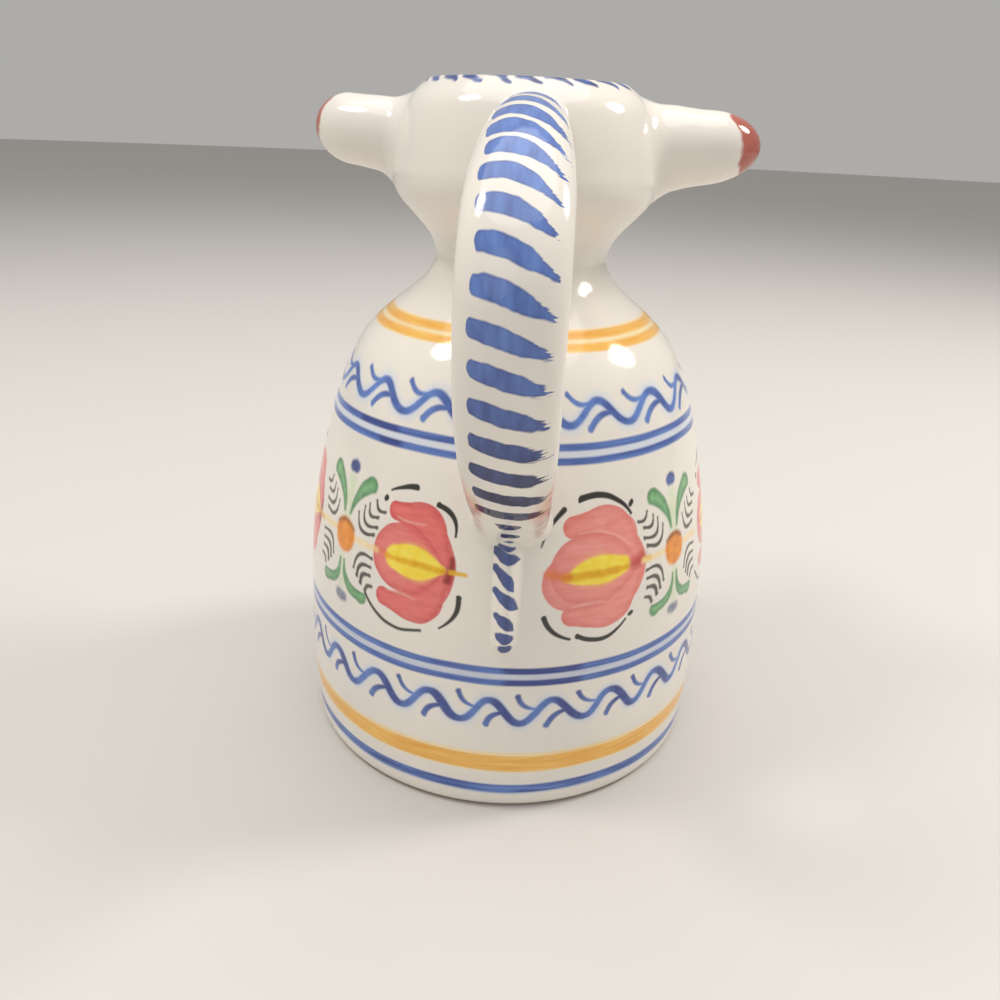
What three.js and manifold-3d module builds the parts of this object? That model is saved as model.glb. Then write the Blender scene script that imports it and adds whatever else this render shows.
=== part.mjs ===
// Bull creamer: a small glazed jug with a bull's head, built from clay pieces luted together with slip.
// Millimetres, +Z up. The origin is the middle of the flat base; the handle is at -Y and the muzzle at +Y.
import * as THREE from 'three';
import { mergeVertices } from 'three/addons/utils/BufferGeometryUtils.js';
import Module from 'manifold-3d';

// Clay
const WALL = 3.2; // thickness of the thrown walls
const FLOOR = 3.0; // thickness of the base disc
const SLIP_GAP = 0.3; // slip joint between luted pieces

// Body outline: radii, with heights above the table and drops below the neck joint
const BASE_RADIUS = 35.0;
const HEEL_RADIUS = 37.2;
const BELLY_RADIUS = 37.7;
const BELLY_HEIGHT = 19.0;
const FLANK_RADIUS = 36.0;
const FLANK_HEIGHT = 45.0;
const SHOULDER_RADIUS = 28.5;
const SHOULDER_DROP = 18.5;
const SLOPE_RADIUS = 16.0;
const SLOPE_DROP = 5.8;
const NECK_RADIUS = 15.1;
const NECK_HEIGHT = 89.8;

// Head outline: radii, with heights above the neck joint
const JOWL_RADIUS = 21.1;
const JOWL_RISE = 7.4;
const HEAD_RADIUS = 21.3;
const HEAD_RISE = 13.0;
const BROW_RADIUS = 19.4;
const BROW_RISE = 20.2;
const RIM_RADIUS = 16.4;
const RIM_RISE = 24.2;
const RIM_ROUND = 0.55; // where the outline gives way to the round lip, below the rim

// Horns: solid stubs that leave the head sideways and sweep forward
const HORN_ROOT_RISE = 14.2; // height of their middle inside the head, above the neck joint
const HORN_FLARE_LENGTH = 8.0; // how far from the head the smeared clay thickens them
const RIGHT_HORN_REACH = 37.8; // from the axis to the tip
const RIGHT_HORN_SWEEP = 3.0; // how far the tip comes forward
const RIGHT_HORN_TIP_RISE = 15.9; // height of its middle farther out
const RIGHT_HORN_RADIUS = 5.7;
const RIGHT_HORN_FLARE = 1.0; // added to the radius at the head
const RIGHT_HORN_TIP_LENGTH = 10.0; // length of the rounded end
const LEFT_HORN_REACH = 33.2;
const LEFT_HORN_SWEEP = 6.8;
const LEFT_HORN_TIP_RISE = 16.4;
const LEFT_HORN_RADIUS = 5.45;
const LEFT_HORN_FLARE = 0.35;
const LEFT_HORN_TIP_LENGTH = 6.0;

// Handle: a pulled strap from under the rim to the belly, sized along its middle line
const HANDLE_WIDTH = 13.2;
const HANDLE_THICKNESS = 6.8;
const HANDLE_TOP_WIDTH = 9.2; // at the head
const HANDLE_SPREAD_LENGTH = 33.6; // over which it widens
const HANDLE_FOOT_WIDTH = 11.2; // at the wall
const HANDLE_TAPER_LENGTH = 36.0; // over which it narrows
const HANDLE_TOP_DROP = 6.9; // start below the rim
const HANDLE_TOP_ARM = 17.4; // curve's pull outward at the start
const HANDLE_TOP_LIFT = 4.4; // curve's pull upward at the start
const HANDLE_REACH = 54.0; // from the axis to the knuckle, its farthest point
const HANDLE_KNUCKLE_DROP = 27.3; // knuckle below the rim
const HANDLE_UPPER_ARM = 16.3; // curve's pull upward at the knuckle
const HANDLE_LOWER_ARM = 20.9; // curve's pull downward at the knuckle
const HANDLE_FOOT_HEIGHT = 50.8; // end inside the wall
const HANDLE_FOOT_ARM = 7.9; // curve's pull outward and upward at the end
const HANDLE_LEAN = 1.0; // both ends set off to the right of the knuckle

// Tail: a thin strip pressed on the wall below the handle
const TAIL_WIDTH = 4.4;
const TAIL_RAISE = 1.7;
const TAIL_TIP_HEIGHT = 32.0;
const TAIL_TIP_LENGTH = 2.0;
const TAIL_LEAN = 0.9; // tip set off to the right of the knuckle

// Muzzle: a hollow spout, a little wider than tall
const MUZZLE_REACH = 39.0; // from the axis to the lips
const MUZZLE_ROOT_RISE = 10.6; // height of its middle at the head, above the neck joint
const MUZZLE_LIP_RISE = 14.6; // height of its middle at the lips, above the neck joint
const MUZZLE_WIDTH = 19.6;
const MUZZLE_HEIGHT = 16.0;
const MUZZLE_WALL = 2.6;
const MUZZLE_FLARE = 2.6; // added to the half sizes at the head
const MUZZLE_FLARE_LENGTH = 10.0;
const MUZZLE_SWELL = 1.6; // added to the half sizes at the nose
const MUZZLE_SWELL_LENGTH = 9.0;
const MUZZLE_LIP_LENGTH = 4.0; // length of the rounded nose
const MUZZLE_LIP_ROUND = 2.8; // taken off the half sizes at the lips

// Facets
const ROUND_SIDES = 56;
const STRAP_SIDES = 20;
const KNOT_STEPS = 3; // between two knots of the outline
const STRAP_STEPS = 26;
const STUB_STEPS = 10;
const ROUND_STEPS = 5;
const STRAP_POWER = 2.1; // shape of a section: 2 is an ellipse, more is squarer
const ROUND_POWER = 2;
const CUT_OVERRUN = 5.0; // how far a cut piece or a cutter runs past the cut
const MERGE_DISTANCE = 1e-4;

const RIM_HEIGHT = NECK_HEIGHT + RIM_RISE;
const ACROSS = new THREE.Vector3(1, 0, 0);
const UP = new THREE.Vector3(0, 0, 1);

const glaze = new THREE.MeshStandardMaterial({ color: '#ede6da', roughness: 0.18, metalness: 0 });
const bareClay = new THREE.MeshStandardMaterial({ color: '#c9a184', roughness: 0.85, metalness: 0 });

const wasm = await Module();
wasm.setup();

/** Makes a solid that can be cut from a closed geometry. */
function solidOf(geometry) {
  const plain = geometry.clone();
  plain.deleteAttribute('normal');
  plain.deleteAttribute('uv');
  const merged = mergeVertices(plain, MERGE_DISTANCE);
  const corners = merged.index.array;
  const triangles = [];
  for (let i = 0; i < corners.length; i += 3) {
    const [a, b, c] = corners.slice(i, i + 3);
    const flat = a === b || b === c || c === a;
    if (!flat) triangles.push(a, b, c);
  }
  const vertProperties = new Float32Array(merged.attributes.position.array);
  const triVerts = new Uint32Array(triangles);
  return new wasm.Manifold(new wasm.Mesh({ numProp: 3, vertProperties, triVerts }));
}

/** Makes a named mesh from a finished solid. */
function meshOf(name, solid, material) {
  const { vertProperties, triVerts } = solid.getMesh();
  const geometry = new THREE.BufferGeometry();
  geometry.setAttribute('position', new THREE.BufferAttribute(vertProperties, 3));
  geometry.setIndex(new THREE.BufferAttribute(triVerts, 1));
  geometry.computeVertexNormals();
  const mesh = new THREE.Mesh(geometry, material);
  mesh.name = name;
  return mesh;
}

/** Turns a closed outline of (radius, height) points round +Z. */
function turned(outline) {
  const geometry = new THREE.LatheGeometry(outline, ROUND_SIDES);
  geometry.rotateX(Math.PI / 2);
  return solidOf(geometry);
}

/** Fills an open outline to the axis and turns it, grown outward by the slip joint. */
function turnedPlug(outline) {
  const grown = outline.map((p) => new THREE.Vector2(p.x + SLIP_GAP, p.y));
  const bottom = new THREE.Vector2(0, grown[0].y);
  const top = new THREE.Vector2(0, grown.at(-1).y);
  return turned([bottom, ...grown, top]);
}

/** The inner face of a thrown wall: the outline moved in along its own normals. */
function innerFace(outline) {
  return outline.map((p, i) => {
    const before = outline[Math.max(i - 1, 0)];
    const after = outline[Math.min(i + 1, outline.length - 1)];
    const along = after.clone().sub(before).normalize();
    return new THREE.Vector2(p.x - along.y * WALL, p.y + along.x * WALL);
  });
}

/** Radius of an outline at a height, in straight steps between its points. */
function radiusAt(outline, height) {
  const above = outline.findIndex((p) => p.y >= height);
  const [low, high] = outline.slice(above - 1, above + 1);
  return THREE.MathUtils.mapLinear(height, low.y, high.y, low.x, high.x);
}

/** Even steps from 0 to 1. */
function evenSteps(count) {
  return Array.from({ length: count + 1 }, (_, i) => i / count);
}

/** Steps from 0 to 1 that close up toward the end, for a piece with a round end. */
function roundEndSteps(count, roundStart) {
  const straight = evenSteps(count).map((t) => t * roundStart);
  const round = evenSteps(ROUND_STEPS).slice(1).map((t) => Math.sin((t * Math.PI) / 2));
  return [...straight, ...round.map((t) => roundStart + t * (1 - roundStart))];
}

/** Share of the full section that is left at t, on a piece whose end is round from roundStart. */
function roundEnd(t, roundStart) {
  const toTip = Math.max(0, (t - roundStart) / (1 - roundStart));
  return Math.sqrt(Math.max(0, 1 - toTip ** 2));
}

/** Fades from 1 to 0 between two lengths along a curve. */
function fade(t, curveLength, from, to) {
  return 1 - THREE.MathUtils.smoothstep(t * curveLength, from, to);
}

/**
 * Sweeps a rounded section along a curve. `side` is the section's wide direction, `steps` are the places
 * of its rings (0 to 1), and `section(t)` gives its half width and half thickness there.
 */
function swept(path, side, steps, section, power) {
  const first = new THREE.Vector2(0, steps[0]);
  const last = new THREE.Vector2(0, steps.at(-1));
  const open = steps.filter((t) => section(t)[0] > MERGE_DISTANCE);
  const rings = open.map((t) => new THREE.Vector2(1, t));
  const geometry = new THREE.LatheGeometry([first, ...rings, last], STRAP_SIDES);
  const position = geometry.attributes.position;
  const squared = (v) => Math.sign(v) * Math.abs(v) ** (2 / power);
  for (let i = 0; i < position.count; i += 1) {
    const t = position.getY(i);
    const [halfWidth, halfThickness] = section(t);
    const place = path.getPointAt(t);
    const outward = new THREE.Vector3().crossVectors(side, path.getTangentAt(t)).normalize();
    place.addScaledVector(side, squared(position.getX(i)) * halfWidth);
    place.addScaledVector(outward, squared(position.getZ(i)) * halfThickness);
    position.setXYZ(i, place.x, place.y, place.z);
  }
  return solidOf(geometry);
}

// Outer outline from the heel to the rim: one smooth curve, split at the neck joint
const outlineKnots = [
  new THREE.Vector2(HEEL_RADIUS, FLOOR),
  new THREE.Vector2(BELLY_RADIUS, BELLY_HEIGHT),
  new THREE.Vector2(FLANK_RADIUS, FLANK_HEIGHT),
  new THREE.Vector2(SHOULDER_RADIUS, NECK_HEIGHT - SHOULDER_DROP),
  new THREE.Vector2(SLOPE_RADIUS, NECK_HEIGHT - SLOPE_DROP),
  new THREE.Vector2(NECK_RADIUS, NECK_HEIGHT),
  new THREE.Vector2(JOWL_RADIUS, NECK_HEIGHT + JOWL_RISE),
  new THREE.Vector2(HEAD_RADIUS, NECK_HEIGHT + HEAD_RISE),
  new THREE.Vector2(BROW_RADIUS, NECK_HEIGHT + BROW_RISE),
  new THREE.Vector2(RIM_RADIUS, RIM_HEIGHT - RIM_ROUND),
];
const neckKnot = outlineKnots.findIndex((p) => p.y === NECK_HEIGHT);
const outlinePoints = new THREE.SplineCurve(outlineKnots).getPoints((outlineKnots.length - 1) * KNOT_STEPS);
const wallOutline = outlinePoints.slice(0, neckKnot * KNOT_STEPS + 1);
const headOutline = outlinePoints.slice(neckKnot * KNOT_STEPS);
const wallPlug = turnedPlug(wallOutline);
const headPlug = turnedPlug([...headOutline, new THREE.Vector2(RIM_RADIUS, RIM_HEIGHT)]);

/** Base disc: flat underneath, with a heel that rounds out to the wall. */
function baseDisc() {
  const heel = new THREE.QuadraticBezierCurve(
    new THREE.Vector2(BASE_RADIUS, 0),
    new THREE.Vector2(HEEL_RADIUS, 0),
    new THREE.Vector2(HEEL_RADIUS, FLOOR),
  );
  const middle = [new THREE.Vector2(0, 0), new THREE.Vector2(0, FLOOR)];
  return meshOf('base_disc', turned([middle[0], ...heel.getPoints(ROUND_STEPS), middle[1]]), bareClay);
}

/** Body wall: a thrown bell that stands on the base disc and ends in the flat neck joint. */
function bodyWall() {
  const inner = innerFace(wallOutline);
  inner.at(0).set(HEEL_RADIUS - WALL, FLOOR);
  inner.at(-1).set(NECK_RADIUS - WALL, NECK_HEIGHT);
  return meshOf('body_wall', turned([...wallOutline, ...inner.reverse(), wallOutline[0]]), glaze);
}

/** Head bowl: thrown apart and set on the neck, with a round lip and a hole for the muzzle's bore. */
function headBowl(bore) {
  const inner = innerFace(headOutline);
  inner.at(0).set(NECK_RADIUS - WALL, NECK_HEIGHT);
  const middle = headOutline.at(-1).clone().add(inner.at(-1)).divideScalar(2);
  const start = headOutline.at(-1).clone().sub(middle).angle();
  const lip = new THREE.EllipseCurve(middle.x, middle.y, WALL / 2, WALL / 2, start, start + Math.PI);
  const top = lip.getPoints(ROUND_STEPS).slice(1, -1);
  const solid = turned([...headOutline, ...top, ...inner.reverse(), headOutline[0]]);
  return meshOf('head_bowl', solid.subtract(bore), glaze);
}

/** Middle line of the muzzle, from inside the head to `past` beyond the lips. */
function muzzlePath(past) {
  const root = new THREE.Vector3(0, HEAD_RADIUS - WALL - CUT_OVERRUN, NECK_HEIGHT + MUZZLE_ROOT_RISE);
  const lips = new THREE.Vector3(0, MUZZLE_REACH, NECK_HEIGHT + MUZZLE_LIP_RISE);
  const outward = lips.clone().sub(root).normalize();
  return new THREE.LineCurve3(root, lips.addScaledVector(outward, past));
}

/** Bore of the muzzle, which also cuts the hole in the head. */
function muzzleBore() {
  const halves = [MUZZLE_WIDTH / 2 - MUZZLE_WALL, MUZZLE_HEIGHT / 2 - MUZZLE_WALL];
  return swept(muzzlePath(CUT_OVERRUN), ACROSS, [0, 1], () => halves, ROUND_POWER);
}

/** Muzzle spout: a hollow snout that flares where it is luted to the head. */
function muzzleSpout(bore) {
  const path = muzzlePath(0);
  const length = path.getLength();
  const seat = WALL + CUT_OVERRUN;
  const lipStart = 1 - MUZZLE_LIP_LENGTH / length;
  const section = (t) => {
    const flare = MUZZLE_FLARE * fade(t, length, seat, seat + MUZZLE_FLARE_LENGTH);
    const swell = MUZZLE_SWELL * (1 - fade(t, length, length - MUZZLE_SWELL_LENGTH, length));
    const lip = MUZZLE_LIP_ROUND * (1 - roundEnd(t, lipStart));
    const grown = flare + swell - lip;
    return [MUZZLE_WIDTH / 2 + grown, MUZZLE_HEIGHT / 2 + grown];
  };
  const outer = swept(path, ACROSS, roundEndSteps(STUB_STEPS, lipStart), section, ROUND_POWER);
  return meshOf('muzzle_spout', outer.subtract(bore).subtract(headPlug), glaze);
}

/** Horn: a solid stub with a round end, on the left (hand -1) or the right (hand 1) of the head. */
function horn(name, hand, size) {
  const height = NECK_HEIGHT + size.tipRise;
  const path = new THREE.QuadraticBezierCurve3(
    new THREE.Vector3(hand * (HEAD_RADIUS - WALL - CUT_OVERRUN), 0, NECK_HEIGHT + HORN_ROOT_RISE),
    new THREE.Vector3(hand * (HEAD_RADIUS + HORN_FLARE_LENGTH), 0, height),
    new THREE.Vector3(hand * size.reach, size.sweep, height),
  );
  const length = path.getLength();
  const seat = WALL + CUT_OVERRUN;
  const tipStart = 1 - size.tipLength / length;
  const section = (t) => {
    const flare = size.flare * fade(t, length, seat, seat + HORN_FLARE_LENGTH);
    const radius = (size.radius + flare) * roundEnd(t, tipStart);
    return [radius, radius];
  };
  const solid = swept(path, UP, roundEndSteps(STUB_STEPS, tipStart), section, ROUND_POWER);
  return meshOf(name, solid.subtract(headPlug), glaze);
}

/** Handle strap, before it is cut to the head and the wall; `grow` is added all round. */
function strapSolid(grow) {
  const startDepth = WALL + CUT_OVERRUN - HEAD_RADIUS;
  const start = new THREE.Vector3(HANDLE_LEAN, startDepth, RIM_HEIGHT - HANDLE_TOP_DROP);
  const knuckle = new THREE.Vector3(0, -HANDLE_REACH, RIM_HEIGHT - HANDLE_KNUCKLE_DROP);
  const wallRadius = radiusAt(wallOutline, HANDLE_FOOT_HEIGHT);
  const end = new THREE.Vector3(HANDLE_LEAN, WALL + SLIP_GAP - wallRadius, HANDLE_FOOT_HEIGHT);
  const path = new THREE.CurvePath();
  path.add(new THREE.CubicBezierCurve3(
    start,
    start.clone().add(new THREE.Vector3(0, -HANDLE_TOP_ARM, HANDLE_TOP_LIFT)),
    knuckle.clone().addScaledVector(UP, HANDLE_UPPER_ARM),
    knuckle,
  ));
  path.add(new THREE.CubicBezierCurve3(
    knuckle,
    knuckle.clone().addScaledVector(UP, -HANDLE_LOWER_ARM),
    end.clone().add(new THREE.Vector3(0, -HANDLE_FOOT_ARM, HANDLE_FOOT_ARM)),
    end,
  ));
  const length = path.getLength();
  const seat = WALL + CUT_OVERRUN;
  const section = (t) => {
    const top = fade(t, length, seat, seat + HANDLE_SPREAD_LENGTH) * (HANDLE_WIDTH - HANDLE_TOP_WIDTH);
    const foot = 1 - fade(t, length, length - HANDLE_TAPER_LENGTH, length);
    const width = HANDLE_WIDTH - top - foot * (HANDLE_WIDTH - HANDLE_FOOT_WIDTH);
    return [width / 2 + grow, HANDLE_THICKNESS / 2 + grow];
  };
  return swept(path, ACROSS, evenSteps(STRAP_STEPS), section, STRAP_POWER);
}

/** Handle: the strap, luted to the head under the rim and to the wall. */
function handleStrap() {
  return meshOf('handle_strap', strapSolid(0).subtract(headPlug).subtract(wallPlug), glaze);
}

/** Tail: a thin strip on the wall, from the handle's foot down. */
function tailStrip() {
  const fall = HANDLE_FOOT_HEIGHT - TAIL_TIP_HEIGHT;
  const onWall = evenSteps(STUB_STEPS).map((t) => {
    const height = HANDLE_FOOT_HEIGHT - t * fall;
    const lean = THREE.MathUtils.lerp(HANDLE_LEAN, TAIL_LEAN, t);
    return new THREE.Vector3(lean, -Math.sqrt(radiusAt(wallOutline, height) ** 2 - lean ** 2), height);
  });
  const path = new THREE.CatmullRomCurve3(onWall);
  const tipStart = 1 - TAIL_TIP_LENGTH / path.getLength();
  const section = (t) => {
    const left = roundEnd(t, tipStart);
    return [(TAIL_WIDTH / 2) * left, TAIL_RAISE * left];
  };
  const strip = swept(path, ACROSS, roundEndSteps(STUB_STEPS, tipStart), section, ROUND_POWER);
  return meshOf('tail_strip', strip.subtract(wallPlug).subtract(strapSolid(SLIP_GAP)), glaze);
}

const bore = muzzleBore();
const creamer = new THREE.Group();
creamer.add(
  baseDisc(),
  bodyWall(),
  headBowl(bore),
  muzzleSpout(bore),
  horn('left_horn', -1, {
    reach: LEFT_HORN_REACH,
    sweep: LEFT_HORN_SWEEP,
    tipRise: LEFT_HORN_TIP_RISE,
    radius: LEFT_HORN_RADIUS,
    flare: LEFT_HORN_FLARE,
    tipLength: LEFT_HORN_TIP_LENGTH,
  }),
  horn('right_horn', 1, {
    reach: RIGHT_HORN_REACH,
    sweep: RIGHT_HORN_SWEEP,
    tipRise: RIGHT_HORN_TIP_RISE,
    radius: RIGHT_HORN_RADIUS,
    flare: RIGHT_HORN_FLARE,
    tipLength: RIGHT_HORN_TIP_LENGTH,
  }),
  handleStrap(),
  tailStrip(),
);

export default creamer;
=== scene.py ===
"""Bull creamer: glazed and hand-painted clay pieces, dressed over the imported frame.

Sizes are millimetres and meshes are metres. The handle is at -Y, the muzzle at +Y and +Z is up.
Angles round the jug are degrees from the handle, growing toward +X.
"""

import ast
import logging
import math
from collections.abc import Sequence
from dataclasses import dataclass, field, replace
from enum import Enum

import bmesh
import bpy
import numpy as np
from mathutils import Matrix, Vector
from mathutils.geometry import interpolate_bezier


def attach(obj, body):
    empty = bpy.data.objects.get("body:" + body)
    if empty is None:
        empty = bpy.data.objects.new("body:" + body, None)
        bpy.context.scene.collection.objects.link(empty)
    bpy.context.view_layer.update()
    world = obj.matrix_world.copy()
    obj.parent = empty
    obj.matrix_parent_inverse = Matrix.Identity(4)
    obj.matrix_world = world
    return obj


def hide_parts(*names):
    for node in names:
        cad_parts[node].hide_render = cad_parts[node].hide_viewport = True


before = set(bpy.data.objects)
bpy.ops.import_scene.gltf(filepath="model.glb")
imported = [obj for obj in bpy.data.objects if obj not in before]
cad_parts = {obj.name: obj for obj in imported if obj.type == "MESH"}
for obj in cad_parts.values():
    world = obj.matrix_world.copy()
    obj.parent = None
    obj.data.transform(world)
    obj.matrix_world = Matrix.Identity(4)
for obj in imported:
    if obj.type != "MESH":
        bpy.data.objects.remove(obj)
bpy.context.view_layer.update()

MM = 0.001
WELD = 1e-3 * MM  # points nearer than this are one
AWAY = 1000.0  # a distance off the sheet, where strokes that are left out go
NOISE_SPAN = (0.3, 0.7)  # most of the noise's values lie between these
STRAY_GAIN = 4.0  # brings the noise's strays up to the hand's reach
BODY = "root"
SHARP_ANGLE = math.radians(40.0)
LOG = logging.getLogger("creamer")

Wire = bpy.types.NodeSocket
Outputs = bpy.types.bpy_prop_collection
Rings = list[list[Vector]]
Outline = Sequence[tuple[float, float]]
Span = tuple[float, float]


# Nodes


def linear(hex_colour: str) -> tuple[float, float, float, float]:
    """Turns an sRGB hex colour into a linear one.

    Args:
        hex_colour: Six hex digits after a hash sign.

    Returns:
        Linear red, green and blue, and an alpha of 1.
    """
    channels = [int(hex_colour[i:i + 2], 16) / 255 for i in (1, 3, 5)]
    lifted = [c / 12.92 if c <= 0.04045 else ((c + 0.055) / 1.055) ** 2.4 for c in channels]
    return (*lifted, 1.0)


def add_node(
    tree: bpy.types.NodeTree, kind: str, inputs: dict | None = None, **settings: object
) -> bpy.types.Node:
    """Adds a node, sets it up and links it.

    Args:
        tree: The node tree that gets the node.
        kind: The node's type name.
        inputs: Values or wires by the name or number of the input.
        **settings: The node's own properties.

    Returns:
        The new node.
    """
    node = tree.nodes.new(kind)
    for name, value in settings.items():
        setattr(node, name, value)
    for key, value in (inputs or {}).items():
        if isinstance(value, Wire):
            tree.links.new(value, node.inputs[key])
        else:
            node.inputs[key].default_value = value
    return node


SIGNS = {ast.Add: "ADD", ast.Sub: "SUBTRACT", ast.Mult: "MULTIPLY", ast.Div: "DIVIDE"}
CALLS = {
    "abs": "ABSOLUTE",
    "atan2": "ARCTAN2",
    "cos": "COSINE",
    "max": "MAXIMUM",
    "min": "MINIMUM",
    "mod": "FLOORED_MODULO",
    "over": "GREATER_THAN",
    "round": "ROUND",
    "sin": "SINE",
    "sqrt": "SQRT",
}


def formula(tree: bpy.types.NodeTree, text: str, values: dict) -> Wire:
    """Writes an arithmetic formula out as nodes.

    The call rise(value, low, high) goes smoothly from 0 at low to 1 at high, and a starred name
    stands for a pair of numbers.

    Args:
        tree: The node tree that gets the nodes.
        text: The formula, with the signs and calls listed above, and rise.
        values: What each name in the formula stands for.

    Returns:
        The wire that carries the result.
    """
    def build(part: ast.expr) -> Wire | float:
        """Builds one part of the formula, its own parts first.

        Args:
            part: The part.

        Returns:
            The wire or the number that it comes to.
        """
        if isinstance(part, ast.Constant):
            return float(part.value)
        if isinstance(part, ast.Name):
            return values[part.id]
        if isinstance(part, ast.UnaryOp):
            return -build(part.operand)
        if isinstance(part, ast.BinOp):
            inputs = {0: build(part.left), 1: build(part.right)}
            return add_node(tree, "ShaderNodeMath", inputs, operation=SIGNS[type(part.op)]).outputs[0]
        parts = []
        for given in part.args:
            parts += values[given.value.id] if isinstance(given, ast.Starred) else [build(given)]
        inputs = dict(enumerate(parts))
        if part.func.id == "rise":
            return add_node(tree, "ShaderNodeMapRange", inputs, interpolation_type="SMOOTHSTEP").outputs[0]
        return add_node(tree, "ShaderNodeMath", inputs, operation=CALLS[part.func.id]).outputs[0]

    return build(ast.parse(text).body[0].value)


# Brush work


@dataclass(frozen=True)
class Stroke:
    """One stroke of the brush, in millimetres on the surface.

    start and end are the middle line's ends, bend is how far its middle bows to the left of the way
    it runs, and first, last and belly are half widths at the ends and added halfway. The ends are
    round, or flatter where blunt is over 1.
    """

    start: tuple[float, float]
    end: tuple[float, float]
    first: float
    last: float
    belly: float = 0.0
    bend: float = 0.0
    feather: float = 0.16
    blunt: float = 1.0


def stroke_group() -> bpy.types.NodeTree:
    """Makes the node group that draws one brush stroke with round ends.

    Returns:
        A group with the stroke's measures as inputs, and as outputs its mask and the distance in from
        its edge.
    """
    tree = bpy.data.node_groups.new("brush_stroke", "ShaderNodeTree")
    vectors = ("place", "start", "axis", "side")
    for name in (*vectors, "length", "bend", "first", "last", "belly", "feather"):
        kind = "NodeSocketVector" if name in vectors else "NodeSocketFloat"
        tree.interface.new_socket(name, in_out="INPUT", socket_type=kind)
    for name in ("mask", "depth"):
        tree.interface.new_socket(name, in_out="OUTPUT", socket_type="NodeSocketFloat")
    wires = {wire.name: wire for wire in tree.nodes.new("NodeGroupInput").outputs}
    inputs = {0: wires["place"], 1: wires["start"]}
    offset = add_node(tree, "ShaderNodeVectorMath", inputs, operation="SUBTRACT").outputs[0]
    for name, along in (("run", "axis"), ("aside", "side")):
        inputs = {0: offset, 1: wires[along]}
        dot = add_node(tree, "ShaderNodeVectorMath", inputs, operation="DOT_PRODUCT")
        wires[name] = dot.outputs["Value"]
    steps = {
        "along": "min(max(run, 0), 1)",
        "bow": "along * (4 - along * 4)",
        "across": "aside - bend * bow",
        "past": "(run - along) * length",
        "half": "first + (last - first) * along + belly * bow",
        "depth": "half - sqrt(across * across + past * past)",
        "mask": "rise(depth, 0 - feather, feather)",
    }
    for name, text in steps.items():
        wires[name] = formula(tree, text, wires)
    shown = tree.nodes.new("NodeGroupOutput").inputs
    for name in ("mask", "depth"):
        tree.links.new(wires[name], shown[name])
    return tree


@dataclass(frozen=True)
class Paint:
    """An oxide colour: how it looks brushed on thin and pooled thick, and how much it hides."""

    thin: str
    thick: str
    cover: float = 0.95


class Pigment(Enum):
    """The potter's colours, fired into the white glaze."""

    COBALT = Paint("#5f86d0", "#213888")
    COBALT_DEEP = Paint("#4062ac", "#1b2c66")
    COBALT_WASH = Paint("#b6c9ea", "#89a6db", 0.5)
    COBALT_MIST = Paint("#d5e0f2", "#c2d3ee", 0.6)
    # laid over the lowest handle bars as painted shade, not a colour of its own on the jug
    NAVY = Paint("#3d4574", "#23263f")
    OCHRE = Paint("#fbc45a", "#eda42e", 0.88)
    OCHRE_WASH = Paint("#fde6ae", "#f8d48a", 0.75)
    ROSE = Paint("#f2837c", "#cb4a4e")
    PINK = Paint("#f7a196", "#dc6d66")
    GLEAM = Paint("#fac3b8", "#f4ada2", 0.6)
    CARMINE = Paint("#a32320", "#6e1210", 0.88)
    CORAL = Paint("#cc453c", "#b5312b", 0.75)
    EMBER = Paint("#ee8a34", "#dc6b30", 0.8)
    LEMON = Paint("#ffec5a", "#fada2a")
    LEMON_HALO = Paint("#f6bf80", "#f0ad6c", 0.6)
    AMBER = Paint("#f0bb14", "#dc9e08", 0.92)
    ORANGE = Paint("#f79a0a", "#dd7c00")
    UMBER = Paint("#a8651f", "#6f4216", 0.85)
    LEAF = Paint("#7dba80", "#36804a", 0.93)
    LEAF_WASH = Paint("#dce8c4", "#c8dcab", 0.6)
    INK = Paint("#21211c", "#0d0d0b", 0.96)
    CHARCOAL = Paint("#49473f", "#1e1d19", 0.92)
    SLATE = Paint("#8690a6", "#525d7c", 0.85)
    HORN_BROWN = Paint("#cb6e5c", "#9a4130")
    BLUSH = Paint("#d9a084", "#9c4f34", 0.9)


@dataclass(frozen=True)
class TinGlaze:
    """White tin glaze over earthenware: a thick, glassy, faintly uneven coat with a soft gloss."""

    warm: str = "#f2ece2"
    cool: str = "#eae5dd"
    speck: str = "#8d7c68"
    roughness: float = 0.1
    roughness_drift: float = 0.05
    ior: float = 1.5
    drift: float = 17.0  # width of the slow change of tone
    peel: float = 2.4  # width of the ripples left by the fired glaze
    peel_depth: float = 0.012
    speck_spacing: float = 7.0
    speck_size: float = 0.16
    speck_cover: float = 0.45
    brush_width: float = 1.6  # width of the blotches where paint lies thick or thin


@dataclass(frozen=True)
class BareClay:
    """Unglazed earthenware: matt, pinkish, gritty where the foot was wiped and turned."""

    pale: str = "#d3ac90"
    dark: str = "#b98d70"
    roughness: float = 0.85
    grit: float = 0.55
    grit_depth: float = 0.03
    grit_share: float = 0.4  # of the change of tone, the rest being the drift's
    drift: float = 9.0
    drift_roughness: float = 0.7


def empty_material(name: str) -> tuple[bpy.types.Material, bpy.types.NodeTree]:
    """Makes a material with no nodes.

    Args:
        name: The material's name.

    Returns:
        The material and its node tree.
    """
    material = bpy.data.materials.new(name)
    material.use_nodes = True
    material.node_tree.nodes.clear()
    return material, material.node_tree


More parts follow.
